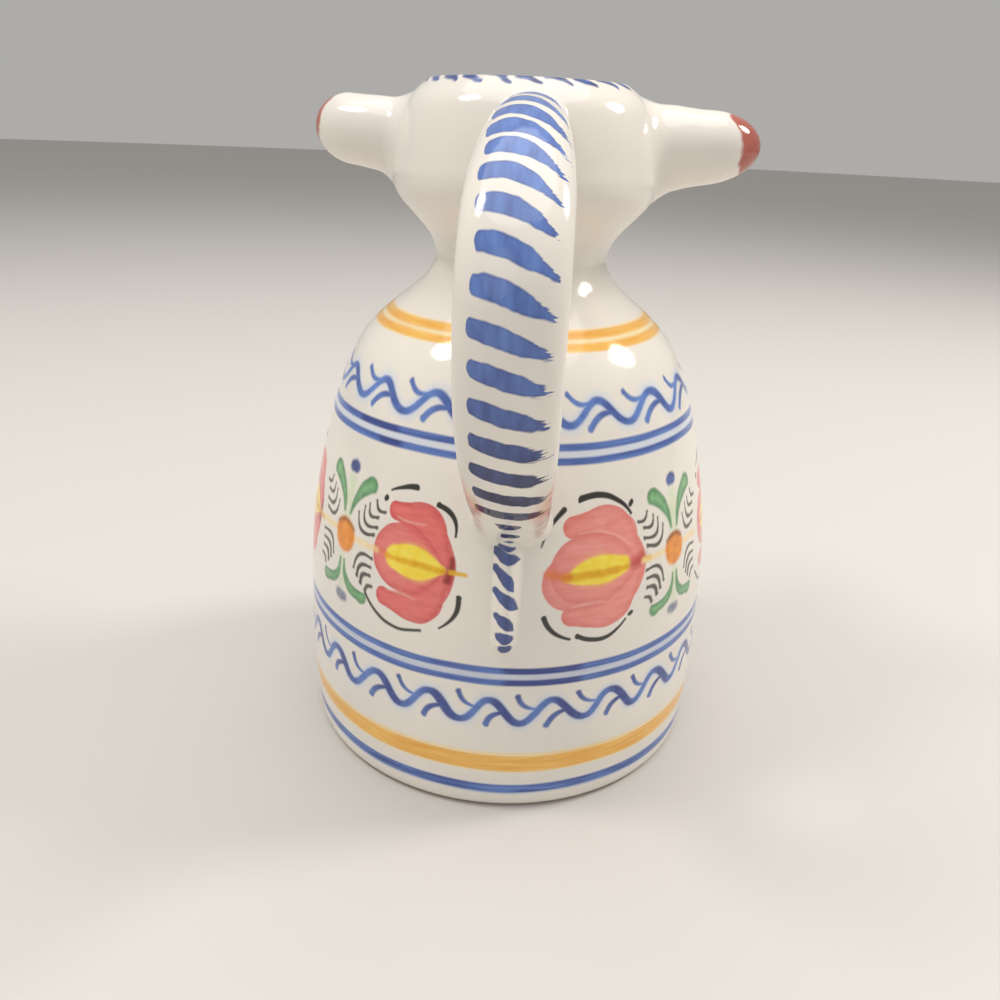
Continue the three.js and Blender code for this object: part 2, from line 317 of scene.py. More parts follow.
class GlazeSheet:
    """A painter's sheet: the glaze on one piece, with coordinates in millimetres and layers of colour.

    Its formulas may name x, y and z, the turn round the jug in degrees and the uneven load of the brush.
    """

    strokes: bpy.types.NodeTree | None = None

    def __init__(self, name: str, glaze: TinGlaze) -> None:
        """Starts a material with bare white glaze.

        Args:
            name: The material's name.
            glaze: The glaze that lies under the paint.
        """
        GlazeSheet.strokes = GlazeSheet.strokes or stroke_group()
        self.glaze = glaze
        self.material, self.tree = empty_material(name)
        inputs = {0: add_node(self.tree, "ShaderNodeTexCoord").outputs["Object"], "Scale": 1 / MM}
        self.place = add_node(self.tree, "ShaderNodeVectorMath", inputs, operation="SCALE").outputs[0]
        split = add_node(self.tree, "ShaderNodeSeparateXYZ", {0: self.place}).outputs
        self.wires = dict(zip("xyz", split))
        self.wires["turn"] = self.reckon("atan2(x, 0 - y) * degrees", degrees=math.degrees(1))
        self.wires["load"] = self.noise(glaze.brush_width, detail=3.0)
        self.colour = linear(glaze.warm)
        self.cover(self.noise(glaze.drift, detail=2.0), linear(glaze.cool))
        self.speckle()

    def reckon(self, text: str, owner: object | None = None, **values: Wire | float | Span) -> Wire:
        """Writes a formula on the sheet.

        Args:
            text: The formula.
            owner: An object whose fields the formula may name.
            **values: What its other names stand for, beside the sheet's own.

        Returns:
            The wire with the result.
        """
        fields = vars(owner) if owner else {}
        return formula(self.tree, text, self.wires | fields | values)

    def noise(
        self,
        width: float,
        detail: float = 1.0,
        place: Wire | None = None,
        stretch: tuple[float, float, float] | None = None,
    ) -> Wire:
        """Adds an even noise from 0 to 1 whose blotches are about as wide as given.

        Args:
            width: Width of a blotch in millimetres.
            detail: How many finer layers it has.
            place: Coordinates in millimetres, or none for the object's own.
            stretch: How many times finer it is along each coordinate, or none for even blotches.

        Returns:
            The wire with the noise.
        """
        place = place or self.place
        if stretch:
            inputs = {0: place, 1: stretch}
            place = add_node(self.tree, "ShaderNodeVectorMath", inputs, operation="MULTIPLY").outputs[0]
        inputs = {"Vector": place, "Scale": 1 / width, "Detail": detail}
        value = add_node(self.tree, "ShaderNodeTexNoise", inputs).outputs[0]
        low, high = NOISE_SPAN
        spread = {"Value": value, "From Min": low, "From Max": high}
        return add_node(self.tree, "ShaderNodeMapRange", spread).outputs["Result"]

    def hand(self, across: Wire | float, up: Wire | float, reach: float, width: float) -> Wire:
        """Gives a place on the surface, as an unsteady hand finds it.

        Args:
            across: How far to the right the place is, in millimetres.
            up: How far up it is.
            reach: How far the hand strays.
            width: Length over which it strays.

        Returns:
            The wire with the place.
        """
        aimed = add_node(self.tree, "ShaderNodeCombineXYZ", {0: across, 1: up}).outputs[0]
        inputs = {"Vector": self.place, "Scale": 1 / width, "Detail": 1.0}
        stray = add_node(self.tree, "ShaderNodeTexNoise", inputs).outputs["Color"]
        inputs = {0: stray, 1: (0.5,) * 3}
        middle = add_node(self.tree, "ShaderNodeVectorMath", inputs, operation="SUBTRACT").outputs[0]
        inputs = {0: middle, 1: (STRAY_GAIN * reach,) * 3, 2: aimed}
        return add_node(self.tree, "ShaderNodeVectorMath", inputs, operation="MULTIPLY_ADD").outputs[0]

    def brush(self, place: Wire, stroke: Stroke) -> Outputs:
        """Draws one stroke.

        Args:
            place: The place on the surface, in the stroke's own millimetres.
            stroke: The stroke.

        Returns:
            The stroke's wires, mask and depth.
        """
        span = Vector(stroke.end) - Vector(stroke.start)
        inputs = {
            "place": place,
            "start": (*stroke.start, 0.0),
            "axis": (*(span / span.length_squared), 0.0),
            "side": (*span.orthogonal().normalized(), 0.0),
            "length": span.length * stroke.blunt,
        }
        inputs |= {name: getattr(stroke, name) for name in ("bend", "first", "last", "belly", "feather")}
        return add_node(self.tree, "ShaderNodeGroup", inputs, node_tree=GlazeSheet.strokes).outputs

    def cover(self, share: Wire, colour: Wire | tuple) -> None:
        """Covers a share of what is on the sheet with a colour."""
        inputs = {0: share, 6: self.colour, 7: colour}
        self.colour = add_node(self.tree, "ShaderNodeMix", inputs, data_type="RGBA").outputs[2]

    def lay(self, pigment: Pigment, mask: Wire, load: Wire | None = None) -> None:
        """Lays a pigment over the sheet.

        Args:
            pigment: The pigment.
            mask: Where it lies, from 0 to 1.
            load: How thick it lies, from 0 to 1, or none for an uneven brush.
        """
        paint = pigment.value
        inputs = {0: load or self.wires["load"], 6: linear(paint.thin), 7: linear(paint.thick)}
        colour = add_node(self.tree, "ShaderNodeMix", inputs, data_type="RGBA").outputs[2]
        self.cover(self.reckon("mask * cover", paint, mask=mask), colour)

    def draw(
        self,
        pigment: Pigment,
        place: Wire,
        *strokes: Stroke,
        within: Wire | None = None,
        load: Wire | None = None,
    ) -> None:
        """Draws strokes of one pigment.

        Args:
            pigment: The pigment.
            place: The place on the surface, in the strokes' own millimetres.
            *strokes: The strokes.
            within: Where they show, from 0 to 1, or none for everywhere.
            load: How thick they lie, or none for an uneven brush.
        """
        total, *others = (self.brush(place, stroke)["mask"] for stroke in strokes)
        for mask in others:
            total = self.reckon("max(total, mask)", total=total, mask=mask)
        if within:
            total = self.reckon("total * within", total=total, within=within)
        self.lay(pigment, total, load)

    def speckle(self) -> None:
        """Dots the bare glaze with the few iron specks that fire through it."""
        spacing = self.glaze.speck_spacing
        inputs = {"Vector": self.place, "Scale": 1 / spacing}
        cells = add_node(self.tree, "ShaderNodeTexVoronoi", inputs).outputs
        tone = add_node(self.tree, "ShaderNodeSeparateXYZ", {0: cells["Color"]}).outputs[0]
        size = self.glaze.speck_size / spacing
        text = "over(size * tone, away) * speck_cover"
        mask = self.reckon(text, self.glaze, size=size, tone=tone, away=cells["Distance"])
        self.cover(mask, linear(self.glaze.speck))

    def fire(self) -> bpy.types.Material:
        """Joins the colours to a glassy surface.

        Returns:
            The finished material.
        """
        glaze = self.glaze
        peel = self.noise(glaze.peel, detail=2.0)
        inputs = {"Strength": 1.0, "Distance": glaze.peel_depth * MM, "Height": peel}
        bump = add_node(self.tree, "ShaderNodeBump", inputs).outputs[0]
        smoothest = glaze.roughness - glaze.roughness_drift / 2
        gloss = self.reckon("smoothest + peel * roughness_drift", glaze, smoothest=smoothest, peel=peel)
        inputs = {"Base Color": self.colour, "Roughness": gloss, "IOR": glaze.ior, "Normal": bump}
        surface = add_node(self.tree, "ShaderNodeBsdfPrincipled", inputs).outputs[0]
        add_node(self.tree, "ShaderNodeOutputMaterial", {"Surface": surface})
        return self.material


def clay_material(clay: BareClay) -> bpy.types.Material:
    """Makes the matt, gritty clay of the unglazed foot.

    Args:
        clay: The clay's measures.

    Returns:
        The material.
    """
    material, tree = empty_material("bare_earthenware")
    place = add_node(tree, "ShaderNodeTexCoord").outputs["Object"]
    inputs = {"Vector": place, "Scale": 1 / (clay.drift * MM), "Detail": 6.0}
    inputs["Roughness"] = clay.drift_roughness
    drift = add_node(tree, "ShaderNodeTexNoise", inputs).outputs[0]
    inputs = {"Vector": place, "Scale": 1 / (clay.grit * MM), "Detail": 4.0}
    grit = add_node(tree, "ShaderNodeTexNoise", inputs).outputs[0]
    shares = {"drift": drift, "grit": grit, "fine": clay.grit_share, "slow": 1 - clay.grit_share}
    blend = formula(tree, "drift * slow + grit * fine", shares)
    inputs = {0: blend, 6: linear(clay.pale), 7: linear(clay.dark)}
    colour = add_node(tree, "ShaderNodeMix", inputs, data_type="RGBA").outputs[2]
    bump = add_node(tree, "ShaderNodeBump", {"Distance": clay.grit_depth * MM, "Height": grit}).outputs[0]
    inputs = {"Base Color": colour, "Roughness": clay.roughness, "Normal": bump}
    surface = add_node(tree, "ShaderNodeBsdfPrincipled", inputs).outputs[0]
    add_node(tree, "ShaderNodeOutputMaterial", {"Surface": surface})
    return material


# Shapes


@dataclass
class ThrownForm:
    """The outer outline of the thrown clay, from the heel to the lip."""

    wall: float = 3.2
    floor: float = 3.0
    base_radius: float = 35.0
    heel_radius: float = 37.2
    belly_radius: float = 37.7
    belly_height: float = 19.0
    flank_radius: float = 36.0
    flank_height: float = 45.0
    shoulder_radius: float = 28.5
    shoulder_drop: float = 18.5
    slope_radius: float = 16.0
    slope_drop: float = 5.8
    neck_radius: float = 15.1
    neck_height: float = 89.8
    jowl_radius: float = 21.1
    jowl_rise: float = 7.4
    head_radius: float = 21.3
    head_rise: float = 13.0
    brow_radius: float = 19.4
    brow_rise: float = 20.2
    rim_radius: float = 16.4
    rim_rise: float = 24.2
    rim_round: float = 0.55  # where the outline gives way to the round lip, below the rim
    knot_steps: int = 40
    sides: int = 224

    def __post_init__(self) -> None:
        """Draws the outline as one smooth curve through its knots."""
        neck = self.neck_height
        self.rim_height = neck + self.rim_rise
        knots = [
            (self.heel_radius, self.floor),
            (self.belly_radius, self.belly_height),
            (self.flank_radius, self.flank_height),
            (self.shoulder_radius, neck - self.shoulder_drop),
            (self.slope_radius, neck - self.slope_drop),
            (self.neck_radius, neck),
            (self.jowl_radius, neck + self.jowl_rise),
            (self.head_radius, neck + self.head_rise),
            (self.brow_radius, neck + self.brow_rise),
            (self.rim_radius, self.rim_height - self.rim_round),
        ]
        ends = [knots[0], *knots, knots[-1]]
        curve = []
        for before, start, end, after in zip(ends, ends[1:], ends[2:], ends[3:]):
            a, b, c, d = (np.array(p) for p in (before, start, end, after))
            for t in np.arange(self.knot_steps) / self.knot_steps:
                bent = (2 * a - 5 * b + 4 * c - d) * t**2 + (3 * b - a - 3 * c + d) * t**3
                curve.append((2 * b + (c - a) * t + bent) / 2)
        curve.append(np.array(knots[-1]))
        self.radii, self.heights = np.array(curve).T

    def radius(self, height: float) -> float:
        """Gives the outer radius at a height."""
        return float(np.interp(height, self.heights, self.radii))

    def outward(self, place: Vector) -> Vector:
        """Gives the surface's outward direction beside a place.

        Args:
            place: The place, in millimetres.

        Returns:
            The direction, of length 1.
        """
        step = 0.25
        slope = (self.radius(place.z + step) - self.radius(place.z - step)) / (2 * step)
        level = Vector((place.x, place.y, 0.0)).normalized()
        return (level - Vector((0, 0, slope))).normalized()

    def gap(self, place: Vector) -> float:
        """Gives the distance from the surface to a place, negative inside the clay."""
        level = math.hypot(place.x, place.y) - self.radius(place.z)
        return level * Vector((place.x, place.y, 0.0)).normalized().dot(self.outward(place))

    def on_wall(self, across: float, height: float, raised: float) -> Vector:
        """Gives a place on the handle's side of the wall.

        Args:
            across: Distance to the right of the middle, along the wall.
            height: Height above the table.
            raised: Distance off the surface.

        Returns:
            The place, in millimetres.
        """
        radius = self.radius(height)
        turn = across / radius
        place = Vector((radius * math.sin(turn), -radius * math.cos(turn), height))
        return place + self.outward(place) * raised

    def stretch(self, low: float, high: float, step: float) -> list[tuple[float, float]]:
        """Gives outline points between two heights, about a step apart along the curve.

        Args:
            low: Height of the first point.
            high: Height of the last point.
            step: Distance between points.

        Returns:
            Radius and height of each point.
        """
        inside = (self.heights > low) & (self.heights < high)
        heights = np.array([low, *self.heights[inside], high])
        radii = np.interp(heights, self.heights, self.radii)
        run = np.concatenate([[0.0], np.cumsum(np.hypot(np.diff(radii), np.diff(heights)))])
        even = np.linspace(0, run[-1], max(2, round(run[-1] / step)) + 1)
        return list(zip(np.interp(even, run, radii), np.interp(even, run, heights)))

    def inner(self, outer: Outline) -> list[tuple[float, float]]:
        """Gives the inner face of the wall: an outer stretch moved in along its normals.

        Args:
            outer: Radius and height of each point of the outer stretch.

        Returns:
            Radius and height of each point of the inner one.
        """
        along = np.gradient(np.array(outer), axis=0)
        along /= np.linalg.norm(along, axis=1, keepdims=True)
        return [(r - a[1] * self.wall, z + a[0] * self.wall) for (r, z), a in zip(outer, along)]


def closed_up(shape: bmesh.types.BMesh) -> bmesh.types.BMesh:
    """Joins points that meet and turns the faces outward.

    Args:
        shape: The skin.

    Returns:
        The same skin.
    """
    bmesh.ops.remove_doubles(shape, verts=shape.verts, dist=WELD)
    bmesh.ops.recalc_face_normals(shape, faces=shape.faces)
    return shape


def mesh_object(name: str, shape: bmesh.types.BMesh) -> bpy.types.Object:
    """Puts a skin into the scene as an object, and frees it.

    Args:
        name: The object's name.
        shape: The skin, in metres.

    Returns:
        The object.
    """
    mesh = bpy.data.meshes.new(name)
    shape.to_mesh(mesh)
    shape.free()
    made = bpy.data.objects.new(name, mesh)
    bpy.context.scene.collection.objects.link(made)
    return made


def turned(profile: Outline, sides: int, closed: bool, outer: int = 0) -> bmesh.types.BMesh:
    """Spins a profile round the jug's axis.

    Args:
        profile: Radius and height of each point, in millimetres.
        sides: Steps of the full turn.
        closed: Whether the last point joins the first.
        outer: How many of the first points lie on the outer face, marked 1 in the attribute outer.

    Returns:
        The closed skin.
    """
    shape = bmesh.new()
    mark = shape.verts.layers.float.new("outer")
    verts = [shape.verts.new((r * MM, 0.0, z * MM)) for r, z in profile]
    for vert in verts[:outer]:
        vert[mark] = 1.0
    pairs = zip(verts, verts[1:] + verts[:1]) if closed else zip(verts, verts[1:])
    geom = verts + [shape.edges.new(pair) for pair in pairs]
    bmesh.ops.spin(shape, geom=geom, axis=(0, 0, 1), angle=2 * math.pi, steps=sides, use_merge=True)
    return closed_up(shape)


def loft(
    rings: Rings, marks: Rings | None = None, mark_name: str = "", tube: bool = False
) -> bmesh.types.BMesh:
    """Extrudes a circle from ring to ring.

    Args:
        rings: Places of each ring's points, in millimetres.
        marks: Values kept on the points, ring by ring.
        mark_name: Name of the attribute that keeps them.
        tube: Whether the last ring joins the first, or both ends are filled.

    Returns:
        The closed skin.
    """
    shape = bmesh.new()
    layer = shape.verts.layers.float_vector.new(mark_name) if marks else None
    bmesh.ops.create_circle(shape, cap_ends=False, radius=1.0, segments=len(rings[0]))
    shape.verts.ensure_lookup_table()
    ring = list(shape.verts)
    first = list(shape.edges)
    edges = first
    for i, places in enumerate(rings):
        if i:
            made = bmesh.ops.extrude_edge_only(shape, edges=edges)["geom"]
            fresh = {g for g in made if isinstance(g, bmesh.types.BMVert)}
            ring = [next(e.other_vert(v) for e in v.link_edges if e.other_vert(v) in fresh) for v in ring]
            edges = [g for g in made if isinstance(g, bmesh.types.BMEdge) and set(g.verts) <= fresh]
        for j, (vert, place) in enumerate(zip(ring, places)):
            vert.co = place * MM
            if layer:
                vert[layer] = marks[i][j]
    if tube:
        bmesh.ops.bridge_loops(shape, edges=first + edges)
    else:
        bmesh.ops.holes_fill(shape, edges=first + edges, sides=0)
    return closed_up(shape)


class Track:
    """A smooth middle line through Bezier pieces, measured along its length."""

    def __init__(self, pieces: Sequence[Sequence[Vector]], samples: int = 120) -> None:
        """Measures the line.

        Args:
            pieces: Three or four control points for each piece, in millimetres.
            samples: Points along each piece.
        """
        points = [p for piece in pieces for p in interpolate_bezier(*self.ordered(piece), samples)]
        self.points = np.array([list(p) for p in points])
        steps = np.linalg.norm(np.diff(self.points, axis=0), axis=1)
        self.run = np.concatenate([[0.0], np.cumsum(steps)])
        self.length = float(self.run[-1])

    @staticmethod
    def ordered(piece: Sequence[Vector]) -> tuple[Vector, Vector, Vector, Vector]:
        """Raises a curve of three control points to one of four.

        Args:
            piece: Three or four control points.

        Returns:
            Four control points.
        """
        if len(piece) == 3:
            start, pull, end = piece
            return start, start.lerp(pull, 2 / 3), end.lerp(pull, 2 / 3), end
        return tuple(piece)

    def at(self, length: float) -> Vector:
        """Gives the place at a length along the line."""
        return Vector([float(np.interp(length, self.run, self.points[:, i])) for i in range(3)])

    def tangent(self, length: float) -> Vector:
        """Gives the line's direction at a length along it.

        Args:
            length: The length.

        Returns:
            The direction, of length 1.
        """
        step = 0.6
        low, high = max(0.0, length - step), min(self.length, length + step)
        return (self.at(high) - self.at(low)).normalized()


def eased(value: float, low: float, high: float) -> float:
    """Rises smoothly from 0 at low to 1 at high."""
    share = min(1.0, max(0.0, (value - low) / (high - low)))
    return share * share * (3 - 2 * share)


# Pieces


@dataclass
class ClayPiece:
    """One piece of clay: builds its mesh, dresses it and puts it in the place of its node."""

    form: ThrownForm
    glaze: TinGlaze
    node: str
    slot: str = "white_glaze"

    def build(self) -> bmesh.types.BMesh:
        """Builds the piece's mesh, in metres."""
        raise NotImplementedError

    def dress(self) -> list[bpy.types.Material]:
        """Makes the piece's materials."""
        return [GlazeSheet(f"tin_glaze_{self.node}", self.glaze).fire()]

    def make(self) -> bpy.types.Object:
        """Builds, dresses and places the piece.

        Returns:
            The finished object.
        """
        shape = self.build()
        for face in shape.faces:
            face.smooth = True
        for edge in shape.edges:
            edge.smooth = len(edge.link_faces) != 2 or edge.calc_face_angle() < SHARP_ANGLE
        piece = mesh_object(f"glazed_{self.node}", shape)
        for material in self.dress():
            piece.data.materials.append(material)
        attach(piece, BODY)
        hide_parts(self.node)
        LOG.info("%s: %d faces", piece.name, len(piece.data.polygons))
        return piece


@dataclass
class BaseDisc(ClayPiece):
    """The clay floor: bare underneath, with a glazed heel that rounds out to the wall."""

    clay: BareClay = field(default_factory=BareClay)
    heel_steps: int = 10
    flat_steps: int = 12
    bare_edge: float = 0.35  # height of the wiped ring round the foot

    def build(self) -> bmesh.types.BMesh:
        """Spins the floor's outline and gives the wiped underside the bare clay.

        Returns:
            The closed skin.
        """
        form = self.form
        corners = ((form.base_radius, 0), (form.heel_radius, 0), (form.heel_radius, form.floor))
        heel = [Vector((radius, 0, height)) for radius, height in corners]
        rounded = interpolate_bezier(*Track.ordered(heel), self.heel_steps)
        under = [(r, 0.0) for r in np.linspace(0.0, form.base_radius, self.flat_steps)[:-1]]
        top = [(r, form.floor) for r in np.linspace(form.heel_radius, 0.0, self.flat_steps)[1:]]
        shape = turned([*under, *((p.x, p.z) for p in rounded), *top], form.sides, closed=False)
        for face in shape.faces:
            face.material_index = int(face.calc_center_median().z < self.bare_edge * MM)
        return shape

    def dress(self) -> list[bpy.types.Material]:
        """Makes the glaze of the heel and the bare clay of the foot."""
        return [*super().dress(), clay_material(self.clay)]


@dataclass(frozen=True)
class RingLine:
    """A line painted round the jug: its height, width and colour, and where the brush lapped over it."""

    height: float
    width: float
    pigment: Pigment
    lap: Span | None = None  # degrees from the handle
    lap_ends: float = 2.0  # degrees over which the lap begins and ends, to either side
    lap_load: float = 0.7
    streak_load: float = 0.6
    least_load: float = 0.12
    feather: float = 0.22


@dataclass(frozen=True)
class WaveBorder:
    """A border of blue waves, each with a hook above its trough and one below its crest."""

    height: float
    swing: float
    count: float
    crest: float  # degrees from the handle to a crest
    radius: float
    hooks: tuple[Stroke, Stroke]  # beside a crest, and beside a trough
    half_width: float
    thickness: float  # how thick the blue lies
    slip: float = 0.0  # share of a wave gained behind the handle
    slip_span: Span = (-10.0, 10.0)  # degrees
    stray_width: float = 14.0
    turn_stray: float = 0.12  # in waves
    rise_stray: float = 0.5
    press: float = 0.12  # how much wider the falling strokes are
    feather: float = 0.26
    wash_half: float = 1.2  # half width of the thin blue along the wave
    wash_feather: float = 0.8
    fall_load: float = 0.3
    brush_load: float = 0.4


@dataclass
class BodyWall(ClayPiece):
    """The thrown bell, with rings, wave borders and a band of flowers."""

    step: float = 0.9
    band_height: float = 45.0
    band_radius: float = 36.5
    sprig_height: float = 44.3
    sprig_turn: float = 2.15  # degrees, as are the next two
    sprig_sway: float = 2.25
    sprig_back: float = 2.6
    units: int = 7
    ring_stray: float = 0.35
    ring_stray_width: float = 22.0
    ring_streaks: tuple[float, float, float] = (0.12, 0.12, 1.6)  # drawn out round the jug

    rings: tuple[RingLine, ...] = (
        RingLine(77.9, 2.8, Pigment.OCHRE_WASH),
        RingLine(78.6, 1.0, Pigment.OCHRE),
        RingLine(77.1, 1.0, Pigment.OCHRE),
        RingLine(62.9, 2.6, Pigment.COBALT_MIST),
        RingLine(63.9, 1.1, Pigment.COBALT, (-49.0, -33.0)),
        RingLine(61.85, 1.1, Pigment.COBALT, (-39.0, -31.0)),
        RingLine(27.5, 3.0, Pigment.COBALT_WASH),
        RingLine(28.6, 1.2, Pigment.COBALT, (2.0, 21.0)),
        RingLine(26.35, 1.2, Pigment.COBALT, (2.0, 21.0)),
        RingLine(10.4, 4.2, Pigment.OCHRE_WASH),
        RingLine(10.2, 3.2, Pigment.OCHRE),
        RingLine(4.5, 2.3, Pigment.COBALT_WASH),
        RingLine(4.6, 1.8, Pigment.COBALT),
    )
    borders: tuple[WaveBorder, ...] = (
        WaveBorder(
            height=68.5,
            swing=1.75,
            count=17.386,
            crest=27.0,
            radius=29.5,
            slip=-0.386,
            half_width=0.56,
            thickness=0.2,
            hooks=(
                Stroke((-1.8, -2.2), (2.9, -0.1), 0.6, 0.4, bend=0.8, feather=0.25),
                Stroke((0.1, 2.6), (4.2, 1.6), 0.5, 0.3, bend=-0.9, feather=0.25),
            ),
        ),
        WaveBorder(
            height=20.8,
            swing=2.15,
            count=23,
            crest=-1.2,
            radius=37.6,
            half_width=0.64,
            thickness=0.42,
            hooks=(
                Stroke((-0.7, -2.6), (2.3, -0.1), 0.62, 0.4, bend=0.6, feather=0.25),
                Stroke((-0.4, 3.0), (2.5, 0.6), 0.55, 0.3, bend=-0.7, feather=0.25),
            ),
        ),
    )

    def build(self) -> bmesh.types.BMesh:
        """Spins the bell's outer and inner faces.

        Returns:
            The closed skin.
        """
        form = self.form
        outer = form.stretch(form.floor, form.neck_height, self.step)
        inner = form.inner(outer)
        inner[0] = (form.heel_radius - form.wall, form.floor)
        inner[-1] = (form.neck_radius - form.wall, form.neck_height)
        return turned([*outer, *reversed(inner)], form.sides, closed=True, outer=len(outer))

    def dress(self) -> list[bpy.types.Material]:
        """Paints the bell's outer face and leaves the inside white.

        Returns:
            The painted glaze.
        """
        sheet = GlazeSheet("tin_glaze_body", self.glaze)
        bare = sheet.colour
        for border in self.borders:
            self.paint_border(sheet, border)
        self.paint_rings(sheet)
        self.paint_flowers(sheet)
        self.paint_sprigs(sheet)
        painted, sheet.colour = sheet.colour, bare
        outer = add_node(sheet.tree, "ShaderNodeAttribute", attribute_name="outer").outputs["Fac"]
        sheet.cover(outer, painted)
        return [sheet.fire()]

    def paint_rings(self, sheet: GlazeSheet) -> None:
        """Paints the lines that run round the jug, as the brush is held against the turning wheel.

        Args:
            sheet: The bell's sheet.
        """
        stray = sheet.noise(self.ring_stray_width)
        wander = sheet.reckon("(stray - 0.5) * ring_stray", self, stray=stray)
        load = sheet.noise(width=1.0, detail=2.0, stretch=self.ring_streaks)
        for line in self.rings:
            laid = load
            if line.lap:
                first, last = (
                    sheet.reckon("rise(turn, *span)", span=(edge - line.lap_ends, edge + line.lap_ends))
                    for edge in line.lap
                )
                text = "streaks * streak_load + least_load + (first - last) * lap_load"
                laid = sheet.reckon(text, line, streaks=load, first=first, last=last)
            text = "rise(half - abs(z + wander - height), -feather, feather)"
            sheet.lay(line.pigment, sheet.reckon(text, line, half=line.width / 2, wander=wander), laid)

    def paint_border(self, sheet: GlazeSheet, border: WaveBorder) -> None:
        """Paints a border of waves and hooks.

        Args:
            sheet: The bell's sheet.
            border: The border.
        """
        wave = 2 * math.pi * border.radius / round(border.count + border.slip)
        stray = sheet.noise(border.stray_width)
        slipped = sheet.reckon("(rise(turn, *slip_span) - 1) * slip", border)
        text = "(turn - crest) / 360 * count + slipped + (stray - 0.5) * turn_stray"
        phase = sheet.reckon(text, border, slipped=slipped, stray=stray)
        up = sheet.reckon("z - height + (stray - 0.5) * rise_stray", border, stray=stray)
        angle = sheet.reckon("phase * circle", phase=phase, circle=2 * math.pi)
        steep = sheet.reckon("sin(angle) * slope", angle=angle, slope=2 * math.pi * border.swing / wave)
        text = "(up - swing * cos(angle)) / sqrt(1 + steep * steep)"
        side = sheet.reckon(text, border, up=up, angle=angle, steep=steep)
        text = "rise(half_width + max(steep, 0) * press - abs(side), -feather, feather)"
        line = sheet.reckon(text, border, steep=steep, side=side)
        for hook, offset in zip(border.hooks, (0.0, 0.5)):
            text = "(phase - offset - round(phase - offset)) * wave"
            beside = sheet.reckon(text, phase=phase, offset=offset, wave=wave)
            place = add_node(sheet.tree, "ShaderNodeCombineXYZ", {0: beside, 1: up}).outputs[0]
            line = sheet.reckon("max(line, hook)", line=line, hook=sheet.brush(place, hook)["mask"])
        text = "rise(wash_half - abs(side), -wash_feather, wash_feather)"
        sheet.lay(Pigment.COBALT_MIST, sheet.reckon(text, border, side=side))
        heavy = sheet.reckon("steep * fall_load + thickness + load * brush_load", border, steep=steep)
        sheet.lay(Pigment.COBALT, line, heavy)

    def paint_flowers(self, sheet: GlazeSheet) -> None:
        """Paints the rose flowers: two hands of the same flower, turn about round the jug.

        Args:
            sheet: The bell's sheet.
        """
        pitch = 360 / self.units
        half = pitch / 2
        count = sheet.reckon("round((turn + half) / pitch)", half=half, pitch=pitch)
        arc = math.radians(self.band_radius)
        text = "(turn + half - count * pitch) * arc"
        across = sheet.reckon(text, half=half, count=count, pitch=pitch, arc=arc)
        up = sheet.reckon("z - band_height", self)
        odd = sheet.reckon("mod(mod(count, units), 2)", self, count=count)
        near = sheet.reckon("over(pitch, abs(turn))", pitch=pitch)
        for flower, hidden in ((LEFT_FLOWER, odd), (RIGHT_FLOWER, sheet.reckon("1 - odd", odd=odd))):
            shifted = sheet.reckon("across + hidden * away", across=across, hidden=hidden, away=AWAY)
            flower.paint(sheet, sheet.hand(shifted, up, reach=0.14, width=5.0), near)

    def paint_sprigs(self, sheet: GlazeSheet) -> None:
        """Paints the sprigs between the flowers, with none behind the handle.

        Args:
            sheet: The bell's sheet.
        """
        pitch = 360 / self.units
        count = sheet.reckon("round(turn / pitch)", pitch=pitch)
        text = "sprig_turn - sin(count * quarter) * sprig_sway - min(max(count - 1, 0), 1) * sprig_back"
        shift = sheet.reckon(text, self, count=count, quarter=math.pi / 2)
        arc = math.radians(self.band_radius)
        text = "(turn - count * pitch - shift) * arc + (away - min(abs(count), 1) * away)"
        across = sheet.reckon(text, count=count, pitch=pitch, shift=shift, arc=arc, away=AWAY)
        up = sheet.reckon("z - sprig_height", self)
        place = sheet.hand(across, up, reach=0.16, width=5.0)
        split = add_node(sheet.tree, "ShaderNodeSeparateXYZ", {0: place}).outputs
        inputs = {0: sheet.reckon("abs(side)", side=split[0]), 1: split[1]}
        SPRIG.paint(sheet, add_node(sheet.tree, "ShaderNodeCombineXYZ", inputs).outputs[0])


